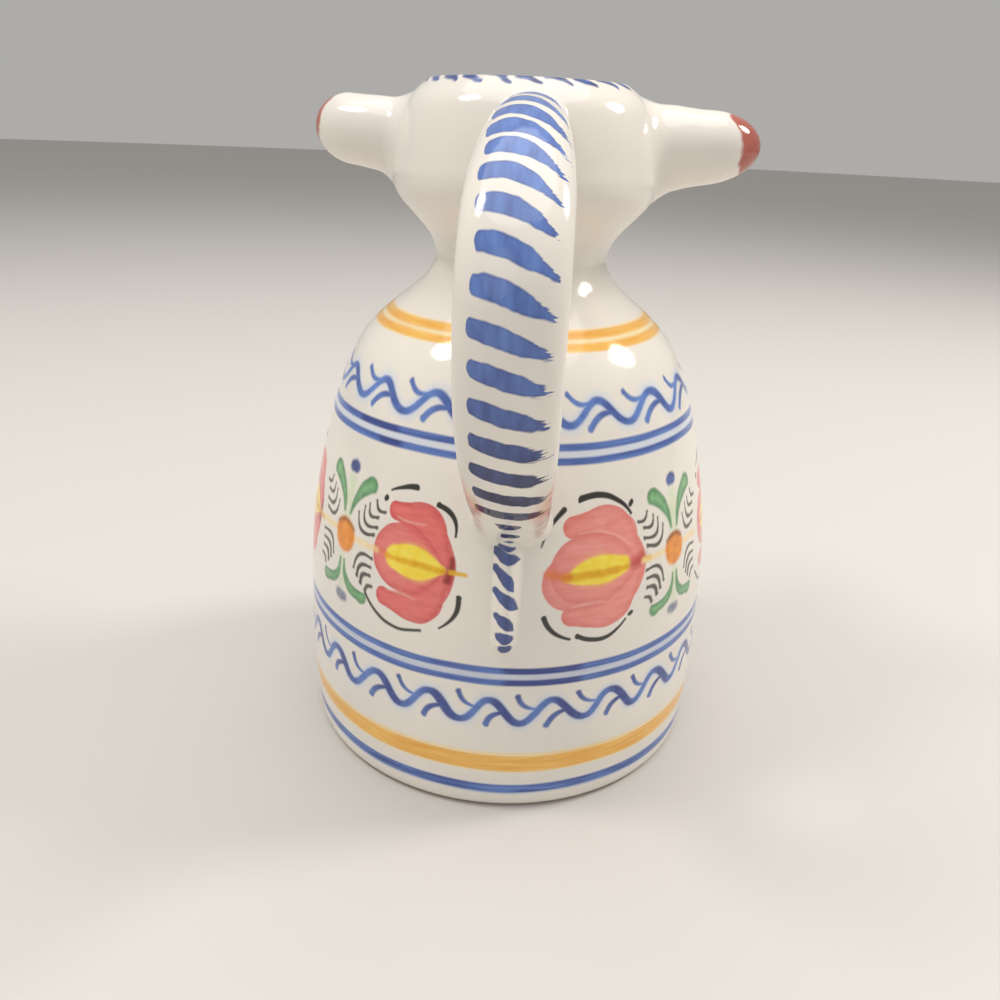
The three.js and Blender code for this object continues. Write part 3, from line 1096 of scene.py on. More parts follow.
@dataclass(frozen=True)
class Flower:
    """A three-lobed rose flower on its side, with a yellow heart and dark strokes round it."""

    petal_paint: Pigment
    base_paint: Pigment
    petals: tuple[Stroke, ...]
    gleams: tuple[Stroke, ...]
    tip: Stroke
    heart: Stroke
    vein: Stroke
    base: Stroke
    stem: Stroke
    outlines: tuple[Stroke, ...]
    flank: tuple[Stroke, ...]
    rim_load: float = 0.5  # how thick the rose lies at a petal's edge
    rim_width: float = 1.5
    rim_fade: float = 0.28
    streak_load: float = 0.32
    streak_width: float = 0.9
    streaks: tuple[float, float, float] = (0.2, 1.0, 0.0)  # drawn out along the flower
    halo_belly: float = 0.5
    halo_feather: float = 0.6

    def paint(self, sheet: GlazeSheet, place: Wire, near: Wire) -> None:
        """Paints the flower.

        Args:
            sheet: The sheet to paint on.
            place: Place on the surface from the middle of the flower, in millimetres.
            near: Whether the flower stands beside the handle, where it has strokes on its free side.
        """
        combed = sheet.noise(self.streak_width, detail=2.0, place=place, stretch=self.streaks)
        for petal in self.petals:
            drawn = sheet.brush(place, petal)
            text = "rim_load - min(depth, rim_width) * rim_fade + combed * streak_load"
            load = sheet.reckon(text, self, depth=drawn["depth"], combed=combed)
            sheet.lay(self.petal_paint, drawn["mask"], load)
        sheet.draw(Pigment.GLEAM, place, *self.gleams)
        halo = replace(self.heart, belly=self.heart.belly + self.halo_belly, feather=self.halo_feather)
        for pigment, stroke in (
            (Pigment.LEMON_HALO, halo),
            (Pigment.LEMON, self.heart),
            (Pigment.AMBER, self.vein),
            (Pigment.EMBER, self.tip),
            (self.base_paint, self.base),
            (Pigment.AMBER, self.stem),
        ):
            sheet.draw(pigment, place, stroke)
        sheet.draw(Pigment.INK, place, *self.outlines)
        sheet.draw(Pigment.INK, place, *self.flank, within=near)


LEFT_FLOWER = Flower(
    petal_paint=Pigment.ROSE,
    base_paint=Pigment.CARMINE,
    petals=(
        Stroke((3.7, 5.4), (3.7, -6.0), 3.6, 3.7, bend=1.8),
        Stroke((-2.2, 7.0), (-0.1, 7.2), 1.5, 1.65),
        Stroke((-2.2, 7.0), (7.0, 1.5), 1.5, 1.6, belly=1.2, bend=2.4),
        Stroke((-3.2, -7.4), (-0.5, -8.0), 1.6, 1.65),
        Stroke((-3.2, -7.4), (7.0, -2.3), 1.6, 1.7, belly=1.2, bend=-2.9),
        Stroke((-0.5, -0.1), (7.0, -0.5), 5.5, 1.0, belly=1.6),
    ),
    gleams=(
        Stroke((-1.9, 6.2), (3.6, 6.1), 0.12, 0.1, belly=0.1, bend=-0.3, feather=0.22),
        Stroke((-2.6, -6.1), (2.6, -6.3), 0.14, 0.1, belly=0.15, bend=0.3, feather=0.25),
    ),
    tip=Stroke((-4.4, 0.0), (-3.0, -0.3), 0.2, 0.3, feather=0.9),
    heart=Stroke((-1.2, -0.2), (6.8, -0.5), 2.1, 0.7, belly=1.2, feather=0.3),
    vein=Stroke((-3.2, -0.4), (7.4, -0.6), 0.32, 0.45, belly=0.1, feather=0.35),
    base=Stroke((8.5, 1.5), (8.0, -2.0), 0.35, 0.65, bend=0.2, feather=0.5),
    stem=Stroke((8.4, -0.6), (10.8, -0.8), 0.4, 0.3, feather=0.25),
    outlines=(
        Stroke((1.2, 11.3), (-3.7, 9.8), 0.5, 0.14, bend=-0.3),
        Stroke((-4.5, 8.5), (-4.7, 8.3), 0.45, 0.4),
        Stroke((3.8, -11.4), (-7.2, -8.4), 0.3, 0.34, bend=2.1, feather=0.25),
    ),
    flank=(
        Stroke((5.5, 9.3), (8.8, 5.1), 0.55, 0.25, bend=1.3),
        Stroke((9.9, -4.5), (7.0, -10.2), 0.5, 0.18, bend=0.9),
    ),
)

RIGHT_FLOWER = Flower(
    petal_paint=Pigment.PINK,
    base_paint=Pigment.CORAL,
    petals=(
        Stroke((3.2, 4.6), (2.3, -5.6), 3.7, 3.6, bend=2.2),
        Stroke((-5.2, 7.1), (-2.9, 7.6), 1.75, 1.8),
        Stroke((-5.2, 7.1), (6.2, 1.6), 1.75, 1.7, belly=1.2, bend=2.8),
        Stroke((-4.9, -7.1), (-2.6, -7.7), 1.85, 1.75),
        Stroke((-4.9, -7.1), (6.2, -1.8), 1.85, 1.7, belly=1.1, bend=-2.6),
        Stroke((-5.6, -1.6), (-1.0, -1.6), 4.5, 4.2),
        Stroke((-3.4, 0.3), (6.2, -0.2), 5.5, 1.2, belly=1.8),
    ),
    gleams=(
        Stroke((-4.2, 6.1), (5.6, 2.8), 0.1, 0.1, belly=0.08, bend=1.3, feather=0.2),
        Stroke((-5.2, -5.7), (0.6, -5.4), 0.14, 0.1, belly=0.15, bend=0.2, feather=0.25),
    ),
    tip=Stroke((-9.2, -0.1), (-6.0, -0.6), 0.55, 0.7, feather=0.6),
    heart=Stroke((-5.9, -0.7), (3.7, 0.2), 0.7, 1.5, belly=1.2, bend=0.25, feather=0.3),
    vein=Stroke((-6.4, -0.7), (4.4, -0.4), 0.6, 0.5, belly=0.15, feather=0.4),
    base=Stroke((6.0, 0.0), (7.7, 0.4), 0.9, 1.1, feather=0.9),
    stem=Stroke((8.3, 0.0), (9.6, 0.0), 0.45, 0.45, feather=0.3),
    outlines=(
        Stroke((-3.9, 11.3), (5.7, 7.9), 0.6, 0.28, bend=1.7, blunt=1.6),
        Stroke((5.5, 9.3), (5.9, 9.7), 0.4, 0.4),
        Stroke((-3.9, -10.8), (4.5, -9.4), 0.52, 0.25, bend=-1.8),
        Stroke((5.4, -8.7), (5.7, -8.5), 0.42, 0.4),
    ),
    flank=(
        Stroke((-6.8, 9.9), (-10.4, 4.4), 0.48, 0.12, bend=-0.5),
        Stroke((-9.5, -7.2), (-5.3, -11.1), 0.5, 0.25, bend=-0.7),
    ),
)


@dataclass(frozen=True)
class Sprig:
    """An orange bud with leaves and curls, drawn once for the right half and mirrored to the left."""

    haze: tuple[Stroke, ...]
    link: Stroke
    leaves: tuple[Stroke, ...]
    bud: Stroke
    shade: Stroke
    curls: tuple[Stroke, ...]
    berry: Stroke
    seed: Stroke
    rim_load: float = 0.75  # how thick the green lies at a leaf's edge
    rim_fade: float = 0.7
    brush_load: float = 0.4

    def paint(self, sheet: GlazeSheet, place: Wire) -> None:
        """Paints the sprig.

        Args:
            sheet: The sheet to paint on.
            place: Place on the surface from the middle of the bud, in millimetres, with no left side.
        """
        sheet.draw(Pigment.LEAF_WASH, place, *self.haze)
        sheet.draw(Pigment.OCHRE_WASH, place, self.link)
        for leaf in self.leaves:
            drawn = sheet.brush(place, leaf)
            text = "rim_load - depth * rim_fade + load * brush_load"
            sheet.lay(Pigment.LEAF, drawn["mask"], sheet.reckon(text, self, depth=drawn["depth"]))
        sheet.draw(Pigment.ORANGE, place, self.bud)
        sheet.draw(Pigment.UMBER, place, self.shade)
        sheet.draw(Pigment.CHARCOAL, place, *self.curls)
        sheet.draw(Pigment.COBALT_DEEP, place, self.berry)
        sheet.draw(Pigment.SLATE, place, self.seed)


SPRIG = Sprig(
    haze=(
        Stroke((0.3, 3.8), (0.3, 9.6), 0.9, 0.9, feather=0.8),
        Stroke((0.2, -3.6), (0.2, -8.8), 0.6, 0.6, feather=0.7),
    ),
    link=Stroke((2.6, 0.6), (8.2, 0.5), 0.5, 0.5, feather=0.5),
    leaves=(
        Stroke((0.9, 4.3), (5.3, 10.1), 0.3, 1.5, bend=0.9, feather=0.3),
        Stroke((0.6, -4.0), (5.2, -8.8), 0.3, 1.3, bend=-1.7, feather=0.3),
    ),
    bud=Stroke((0.0, 0.5), (0.0, 0.1), 2.75, 2.6, feather=0.4),
    shade=Stroke((0.0, 2.9), (2.2, 2.0), 0.35, 0.3, bend=0.15, feather=0.5),
    curls=(
        Stroke((3.2, 5.2), (7.1, 2.7), 0.26, 0.44, bend=-1.6, feather=0.22),
        Stroke((4.5, 6.6), (7.7, 4.1), 0.26, 0.42, bend=-1.6, feather=0.22),
        Stroke((5.6, 7.3), (7.7, 5.7), 0.26, 0.4, bend=-1.0, feather=0.22),
        Stroke((7.1, 8.2), (9.0, 6.9), 0.28, 0.36, bend=-0.7, feather=0.22),
        Stroke((3.3, -4.2), (7.4, -1.4), 0.32, 0.36, bend=1.6, feather=0.22),
        Stroke((4.2, -5.3), (7.2, -2.9), 0.42, 0.36, bend=1.2, feather=0.22),
        Stroke((5.1, -6.2), (7.1, -4.4), 0.46, 0.4, bend=0.8, feather=0.25),
        Stroke((6.2, -7.2), (7.6, -6.0), 0.36, 0.34, bend=0.4, feather=0.25),
    ),
    berry=Stroke((0.0, 12.0), (0.5, 11.9), 1.1, 1.0, feather=0.4),
    seed=Stroke((0.0, -10.7), (0.7, -10.6), 1.0, 0.9, feather=0.5),
)


@dataclass
class HeadBowl(ClayPiece):
    """The bull's head: a round bowl with a soft lip, open where the muzzle's bore comes in."""

    step: float = 0.7
    lip_steps: int = 12
    dashes: int = 24
    dash: Stroke = Stroke((-1.25, 0.25), (1.6, -0.85), 0.6, 0.26, feather=0.2)
    muzzle: "MuzzleSpout | None" = None
    face_depth: float = 0.6  # share of the wall's thickness within which the face is painted
    eye: tuple[Stroke, ...] = (
        Stroke((14.6, 13.2), (19.4, 13.8), 0.2, 0.2, bend=1.4),
        Stroke((14.6, 13.2), (19.4, 13.8), 0.2, 0.2, bend=-1.1),
        Stroke((17.0, 13.5), (17.2, 13.5), 0.9, 0.9),
    )
    brow: Stroke = Stroke((14.0, 16.8), (19.6, 17.2), 0.2, 0.4, bend=0.9)

    def build(self) -> bmesh.types.BMesh:
        """Spins the bowl and cuts the hole for the muzzle's bore.

        Returns:
            The closed skin.
        """
        form = self.form
        outer = form.stretch(form.neck_height, form.rim_height - form.rim_round, self.step)
        inner = form.inner(outer)
        inner[0] = (form.neck_radius - form.wall, form.neck_height)
        lip = self.lip(np.array(outer[-1]), np.array(inner[-1]))
        shape = turned([*outer, *lip, *reversed(inner)], form.sides, closed=True)
        return self.pierced(shape, self.muzzle.bore())

    def lip(self, outside: np.ndarray, inside: np.ndarray) -> list[tuple[float, float]]:
        """Gives the round lip that joins the ends of the wall's two faces.

        Args:
            outside: Radius and height where the outer face ends.
            inside: Radius and height where the inner face ends.

        Returns:
            Radius and height of the points between them.
        """
        middle = (outside + inside) / 2
        reach = outside - middle
        over = np.array((-reach[1], reach[0]))
        bends = np.linspace(0, math.pi, self.lip_steps + 1)[1:-1]
        return [tuple(middle + reach * math.cos(b) + over * math.sin(b)) for b in bends]

    @staticmethod
    def pierced(shape: bmesh.types.BMesh, cutter: bmesh.types.BMesh) -> bmesh.types.BMesh:
        """Cuts one closed skin out of another.

        Args:
            shape: The skin that is cut.
            cutter: The skin that cuts it.

        Returns:
            The cut skin.
        """
        bowl, tool = mesh_object("bowl", shape), mesh_object("cutter", cutter)
        cut = bowl.modifiers.new("bore", "BOOLEAN")
        cut.operation = "DIFFERENCE"
        cut.object = tool
        cut.solver = "EXACT"
        result = bmesh.new()
        result.from_object(bowl, bpy.context.evaluated_depsgraph_get())
        for leftover in (bowl, tool):
            mesh = leftover.data
            bpy.data.objects.remove(leftover)
            bpy.data.meshes.remove(mesh)
        return result

    def dress(self) -> list[bpy.types.Material]:
        """Paints the lip's dashes and, on the far side, plain eyes and brows.

        Returns:
            The painted glaze.
        """
        sheet = GlazeSheet("tin_glaze_head", self.glaze)
        form = self.form
        crest = form.rim_radius - form.wall / 2
        share = sheet.reckon("turn / pitch", pitch=360 / self.dashes)
        wave = 2 * math.pi * crest / self.dashes
        across = sheet.reckon("(share - round(share)) * wave", share=share, wave=wave)
        up = sheet.reckon("z - rim_height", form)
        outside = sheet.reckon("over(x * x + y * y, edge)", edge=crest**2)
        place = sheet.hand(across, up, reach=0.25, width=3.0)
        sheet.draw(Pigment.COBALT_DEEP, place, self.dash, within=outside)
        skin = form.head_radius - form.wall * self.face_depth
        text = "abs(atan2(x, y)) * head_radius + over(edge, x * x + y * y) * away"
        front = sheet.reckon(text, form, edge=skin**2, away=AWAY)
        place = sheet.hand(front, sheet.reckon("z - neck_height", form), reach=0.15, width=4.0)
        sheet.draw(Pigment.INK, place, *self.eye)
        sheet.draw(Pigment.COBALT, place, self.brow)
        return [sheet.fire()]


@dataclass
class Limb(ClayPiece):
    """A pulled piece of clay that is smeared on to the thrown form.

    Its skin is swept along a middle line. Where it meets the form, a fillet runs out on the form's
    surface, so the glaze flows over the joint without a crease.
    """

    fillet: float = 2.0
    fillet_steps: int = 14
    sides: int = 72
    rings: int = 60
    power: float = 2.0
    across: Vector = field(default_factory=lambda: Vector((1, 0, 0)))
    sunk: float = 0.012
    buried: float = 1.2
    halvings: int = 24  # of the length in which the seat is looked for
    nudges: int = 3  # back to the form's surface

    def __post_init__(self) -> None:
        """Lays the middle line."""
        self.track = Track(self.pieces())

    def pieces(self) -> list[list[Vector]]:
        """Gives the control points of the middle line."""
        raise NotImplementedError

    def section(self, run: float) -> Span:
        """Gives the half width and half thickness at a length along the middle line."""
        raise NotImplementedError

    def squared(self, value: float) -> float:
        """Makes a circle's coordinate that of a squarer section."""
        return math.copysign(abs(value) ** (2 / self.power), value)

    def skin(self, run: float, angle: float) -> Vector:
        """Gives a place on the skin.

        Args:
            run: Length along the middle line.
            angle: Angle round the section, from its wide side.

        Returns:
            The place, in millimetres.
        """
        wide, thick = self.section(run)
        up = self.track.tangent(run).cross(self.across).normalized()
        width, height = self.squared(math.cos(angle)) * wide, self.squared(math.sin(angle)) * thick
        return self.track.at(run) + self.across * width + up * height

    def seat(self, angle: float, gap: float, inside: float, outside: float) -> float:
        """Finds where a line of the skin is a given distance off the form.

        Args:
            angle: Angle of the line round the section.
            gap: The distance.
            inside: A length along the middle line that is nearer the form.
            outside: A length that is farther off.

        Returns:
            The length along the middle line.
        """
        for _ in range(self.halvings):
            middle = (inside + outside) / 2
            if self.form.gap(self.skin(middle, angle)) < gap:
                inside = middle
            else:
                outside = middle
        return (inside + outside) / 2

    def smear(self, run: float, angle: float, gap: float, spread: float) -> Vector:
        """Moves a place on the skin sideways over the form, keeping its distance from it.

        Args:
            run: Length along the middle line.
            angle: Angle round the section.
            gap: Distance off the form.
            spread: How far it moves.

        Returns:
            The moved place.
        """
        place = self.skin(run, angle)
        away = place - self.track.at(run)
        outward = self.form.outward(place)
        flat = (away - outward * away.dot(outward)).normalized()
        place = place + flat * spread
        for _ in range(self.nudges):
            place = place + self.form.outward(place) * (gap - self.form.gap(place))
        return place

    def joint(self, angles: Sequence[float], inside: float, outside: float) -> tuple[Rings, list[float]]:
        """Works out the fillet at one end.

        Args:
            angles: Angles round the section.
            inside: Length along the middle line at the buried end.
            outside: A length that is well clear of the form.

        Returns:
            The fillet's rings from the form outward, and the length at which each line leaves it.
        """
        rings = [[self.skin(self.seat(a, -self.buried, inside, outside), a) for a in angles]]
        bends = [math.pi / 2 * i / self.fillet_steps for i in range(self.fillet_steps + 1)]
        for bend in bends:
            gap = self.fillet * (1 - math.cos(bend)) - self.sunk * math.cos(bend)
            spread = self.fillet * (1 - math.sin(bend))
            seats = [self.seat(a, gap, inside, outside) for a in angles]
            rings.append([self.smear(s, a, gap, spread) for s, a in zip(seats, angles)])
        return rings[:-1], seats

    def turns(self) -> list[float]:
        """Gives the angles round the section."""
        return [2 * math.pi * i / self.sides for i in range(self.sides)]

    def shaft(self, end: float, end_steps: int) -> tuple[Rings, list[list[float]]]:
        """Runs the skin from its joint to a rounded end.

        Args:
            end: Length of the rounded end.
            end_steps: Rings on it.

        Returns:
            The rings, with the fillet's first, and the length of each point of those after the fillet.
        """
        angles = self.turns()
        start = self.track.length - end
        rings, seats = self.joint(angles, 0.0, start)
        runs = [[s + (start - s) * i / self.rings for s in seats] for i in range(self.rings)]
        bends = [math.pi / 2 * i / end_steps for i in range(end_steps)]
        runs += [[start + end * math.sin(b)] * len(seats) for b in bends]
        rings += [[self.skin(r, a) for r, a in zip(row, angles)] for row in runs]
        return rings, runs


@dataclass
class Horn(Limb):
    """A solid horn with a round end, its tip dipped in brown."""

    hand: int = 1
    reach: float = 37.8
    sweep: float = 3.0
    root_rise: float = 14.2
    tip_rise: float = 15.9
    radius: float = 5.7
    flare: float = 1.0
    flare_length: float = 8.0
    tip_length: float = 10.0
    overrun: float = 5.0
    cap_length: float = 5.2
    cap_slant: float = 0.3  # how much farther the cap reaches at the top, for each millimetre of height
    cap_wobble: float = 1.4
    cap_edge: Span = (-0.25, 0.35)
    cap_load: float = 0.35  # how thick the brown lies at the cap's edge
    cap_deepens: float = 0.12  # for each millimetre toward the tip
    cap_brush: float = 0.3
    fillet: float = 2.8
    across: Vector = field(default_factory=lambda: Vector((0, 0, 1)))
    tip_steps: int = 14

    def pieces(self) -> list[list[Vector]]:
        """Runs from inside the head, sideways and then forward.

        Returns:
            The control points of the middle line.
        """
        form = self.form
        height = form.neck_height + self.tip_rise
        inside = form.head_radius - form.wall - self.overrun
        return [[
            Vector((self.hand * inside, 0, form.neck_height + self.root_rise)),
            Vector((self.hand * (form.head_radius + self.flare_length), 0, height)),
            Vector((self.hand * self.reach, self.sweep, height)),
        ]]

    def section(self, run: float) -> Span:
        """Flares at the head and closes to the round tip.

        Args:
            run: Length along the middle line.

        Returns:
            The half width and half thickness.
        """
        seat = self.form.wall + self.overrun
        flare = self.flare * (1 - eased(run, seat, seat + self.flare_length))
        past = max(0.0, 1 - (self.track.length - run) / self.tip_length)
        radius = (self.radius + flare) * math.sqrt(max(0.0, 1 - past * past))
        return radius, radius

    def build(self) -> bmesh.types.BMesh:
        """Lofts the horn from the head to its tip and marks each point's length along it.

        Returns:
            The closed skin.
        """
        rings, runs = self.shaft(self.tip_length, self.tip_steps)
        marks = [[Vector((0, 0, 0))] * self.sides for _ in rings[:-len(runs)]]
        marks += [[Vector((0, r, 0)) for r in row] for row in runs]
        return loft(rings, marks, "limb")

    def dress(self) -> list[bpy.types.Material]:
        """Dips the tip in brown, thin at its edge.

        Returns:
            The painted glaze.
        """
        sheet = GlazeSheet(f"tin_glaze_{self.node}", self.glaze)
        limb = add_node(sheet.tree, "ShaderNodeAttribute", attribute_name="limb").outputs["Vector"]
        past = sheet.reckon(
            "along - start + (z - middle) * cap_slant + (wobble - 0.5) * cap_wobble",
            self,
            along=add_node(sheet.tree, "ShaderNodeSeparateXYZ", {0: limb}).outputs[1],
            start=self.track.length - self.cap_length,
            middle=self.form.neck_height + self.tip_rise,
            wobble=sheet.noise(width=5.0, detail=2.0),
        )
        load = sheet.reckon("cap_load + past * cap_deepens + load * cap_brush", self, past=past)
        sheet.lay(Pigment.HORN_BROWN, sheet.reckon("rise(past, *cap_edge)", self, past=past), load)
        return [sheet.fire()]


@dataclass
class HandleStrap(Limb):
    """The pulled strap from under the rim down to the belly, barred with blue."""

    width: float = 13.2
    thickness: float = 6.8
    top_width: float = 9.2
    spread_length: float = 33.6
    foot_width: float = 11.2
    taper_length: float = 36.0
    top_drop: float = 6.9
    top_arm: float = 17.4
    top_lift: float = 4.4
    reach: float = 54.0
    knuckle_drop: float = 27.3
    upper_arm: float = 16.3
    lower_arm: float = 20.9
    foot_height: float = 50.8
    foot_arm: float = 7.9
    lean: float = 1.0
    overrun: float = 5.0
    slip: float = 0.3
    power: float = 2.1
    fillet: float = 0.9
    rings: int = 170
    clear: float = 0.4  # share of the strap at either end beyond which it is clear of the jug
    first_bar: float = 28.9  # length along the strap to a bar near the crest, from which bars are counted
    bar_spacing: float = 3.75  # between the bars there
    bar_growth: float = 0.077  # added to the spacing at each bar
    last_bar: int = -4  # the bar nearest the head
    bar: Stroke = Stroke((-4.1, 0.0), (5.8, 0.0), 1.05, 0.3, belly=0.45, feather=0.15, blunt=2.4)
    bar_slant: float = 0.4  # how far a bar drops for each millimetre across
    slant_loss: float = 0.2
    sag: float = 0.07  # how much steeper a bar gets for each millimetre across
    slant_span: Span = (28.0, 75.0)  # lengths along the strap, as are the next five
    sag_span: Span = (25.0, 62.0)
    # where the bars grow wider to the right and their blue is darkened as painted shade
    heavy_span: Span = (46.0, 74.0)
    # where navy is laid over the bars as painted shade
    dark_span: Span = (56.0, 76.0)
    foot_span: Span = (80.5, 85.5)
    crest_spans: tuple[Span, Span] = ((38.0, 29.0), (21.0, 28.0))  # where thicker bars end and begin
    crest_crowd: float = 0.2  # how much closer bars stand toward the head
    crest_thick: float = 0.3
    heavy_thick: float = 0.14  # how much thicker a bar gets for each millimetre across
    foot_narrow: float = 2.6
    shift: float = 0.5  # how far bars stray across
    ragged: float = 1.9  # length of the bristle marks at a bar's end
    ragged_span: Span = (1.0, 4.6)
    bristles: tuple[float, float, float] = (0.12, 1.0, 0.0)  # drawn out across the strap
    puddles: tuple[float, float, float] = (1.0, 0.25, 0.0)  # drawn out along it
    pool_load: float = 0.6
    # how much darker the blue lies lower on the strap, as painted shade
    heavy_load: float = 0.4
    rim_load: float = 0.9
    rim_width: float = 0.35
    blush_edges: Span = (3.2, 4.6)  # from the middle of the strap
    blush_span: Span = (24.0, 13.0)  # before the end of the strap
    blush_least: float = 0.15

    def pieces(self) -> list[list[Vector]]:
        """Runs out of the head, round the knuckle and into the wall.

        Returns:
            The control points of the middle line.
        """
        form = self.form
        depth = form.wall + self.overrun - form.head_radius
        start = Vector((self.lean, depth, form.rim_height - self.top_drop))
        knuckle = Vector((0, -self.reach, form.rim_height - self.knuckle_drop))
        end = Vector((self.lean, form.wall + self.slip - form.radius(self.foot_height), self.foot_height))
        above, below = Vector((0, 0, self.upper_arm)), Vector((0, 0, -self.lower_arm))
        return [
            [start, start + Vector((0, -self.top_arm, self.top_lift)), knuckle + above, knuckle],
            [knuckle, knuckle + below, end + Vector((0, -self.foot_arm, self.foot_arm)), end],
        ]

    def section(self, run: float) -> Span:
        """Widens below the head and narrows to the foot.

        Args:
            run: Length along the middle line.

        Returns:
            The half width and half thickness.
        """
        seat = self.form.wall + self.overrun
        length = self.track.length
        top = (1 - eased(run, seat, seat + self.spread_length)) * (self.width - self.top_width)
        foot = eased(run, length - self.taper_length, length) * (self.width - self.foot_width)
        return (self.width - top - foot) / 2, self.thickness / 2

    def build(self) -> bmesh.types.BMesh:
        """Lofts the strap between its two joints and marks each point for the painter.

        Returns:
            The closed skin.
        """
        angles = self.turns()
        length = self.track.length
        above, leave = self.joint(angles, 0.0, length * self.clear)
        below, arrive = self.joint(angles, length, length * (1 - self.clear))
        shares = [i / self.rings for i in range(self.rings + 1)]
        runs = [[a + (b - a) * s for a, b in zip(leave, arrive)] for s in shares]
        rings = above + [[self.skin(r, a) for r, a in zip(row, angles)] for row in runs] + below[::-1]
        bare = [[Vector((0, 0, -1))] * len(angles)]
        marks = [
            [
                Vector((self.squared(math.cos(a)) * self.section(r)[0], r, math.sin(a)))
                for r, a in zip(row, angles)
            ]
            for row in runs
        ]
        return loft(rings, bare * len(above) + marks + bare * len(below), "limb")

    def dress(self) -> list[bpy.types.Material]:
        """Lets the clay blush through thin glaze at the foot and paints the bars on the outer face.

        Returns:
            The painted glaze.
        """
        sheet = GlazeSheet("tin_glaze_handle", self.glaze)
        limb = add_node(sheet.tree, "ShaderNodeAttribute", attribute_name="limb").outputs["Vector"]
        split = add_node(sheet.tree, "ShaderNodeSeparateXYZ", {0: limb}).outputs
        sheet.wires |= dict(zip(("across", "along", "face"), split))
        self.paint_blush(sheet)
        self.paint_bars(sheet, limb)
        return [sheet.fire()]

    def paint_blush(self, sheet: GlazeSheet) -> None:
        """Lets the clay show through thin glaze on both edges near the foot.

        Args:
            sheet: The handle's sheet, whose formulas may name across, along and face.
        """
        first, last = (self.track.length - length for length in self.blush_span)
        patch = sheet.noise(width=2.6, detail=3.0)
        text = "rise(abs(across), *edges) * rise(along, first, last) * (patch * most + least)"
        least = self.blush_least
        numbers = {"first": first, "last": last, "most": 1 - least, "least": least}
        mask = sheet.reckon(text, edges=self.blush_edges, patch=patch, **numbers)
        sheet.lay(Pigment.BLUSH, mask, patch)

    def paint_bars(self, sheet: GlazeSheet, limb: Wire) -> None:
        """Paints the blue bars, each with a blunt start and a ragged end, and darkens the lower ones as
        painted shade.

        Args:
            sheet: The handle's sheet, whose formulas may name across, along and face.
            limb: Place on the strap: across it, along it and round it.
        """
        own = {name: value for name, value in vars(self).items() if name != "across"}
        values = sheet.wires | own
        steps = {
            # heavy: the lower strap, where bars grow wider and their blue is darkened as painted shade
            "heavy": "rise(along, *heavy_span)",
            "foot": "rise(along, *foot_span)",
            "slanted": "bar_slant - rise(along, *slant_span) * slant_loss",
            "drop": "across * (slanted + (sag - rise(along, *sag_span) * sag) * across) * (1 - foot)",
            "run": "along - first_bar - drop - min(along - first_bar, 0) * crest_crowd",
            "root": "sqrt(bar_spacing * bar_spacing + bar_growth * 2 * run)",
            "share": "(root - bar_spacing) / bar_growth",
            "count": "round(share)",
            "thick": "rise(along, *crest_below) * rise(along, *crest_above)",
            "grown": "1 + heavy * max(across, 0) * heavy_thick + thick * crest_thick",
            "down": "(share - count) * (bar_spacing + bar_growth * share) / grown",
        }
        values["crest_below"], values["crest_above"] = self.crest_spans
        for name, text in steps.items():
            values[name] = formula(sheet.tree, text, values)
        inputs = {"W": values["count"]}
        dice = add_node(sheet.tree, "ShaderNodeTexWhiteNoise", inputs, noise_dimensions="1D").outputs
        values["chance"] = add_node(sheet.tree, "ShaderNodeSeparateXYZ", {0: dice["Color"]}).outputs[0]
        values["marks"] = sheet.noise(width=0.32, detail=2.0, place=limb, stretch=self.bristles)
        values["pool"] = sheet.noise(width=1.5, detail=4.0, place=limb, stretch=self.puddles)
        text = "(across + rise(across, *ragged_span) * marks * ragged) * (1 + foot * foot_narrow)"
        beside = formula(sheet.tree, f"{text} + (chance - 0.5) * shift", values)
        drawn = sheet.brush(sheet.hand(beside, values["down"], reach=0.12, width=1.8), self.bar)
        values |= {"mask": drawn["mask"], "depth": drawn["depth"], "last": self.last_bar - 0.5}
        bars = formula(sheet.tree, "mask * over(face, 0) * over(count, last)", values)
        # Puddles and stroke edges lie thick, and the lower strap's blue is darkened further as painted
        # shade
        text = "pool * pool_load + heavy * heavy_load + max(rim_width - depth, 0) * rim_load"
        load = formula(sheet.tree, text, values)
        sheet.lay(Pigment.COBALT, bars, load)
        # navy over the lowest bars, as painted shade
        dark = sheet.reckon("bars * rise(along, *dark_span)", bars=bars, dark_span=self.dark_span)
        sheet.lay(Pigment.NAVY, dark, load)


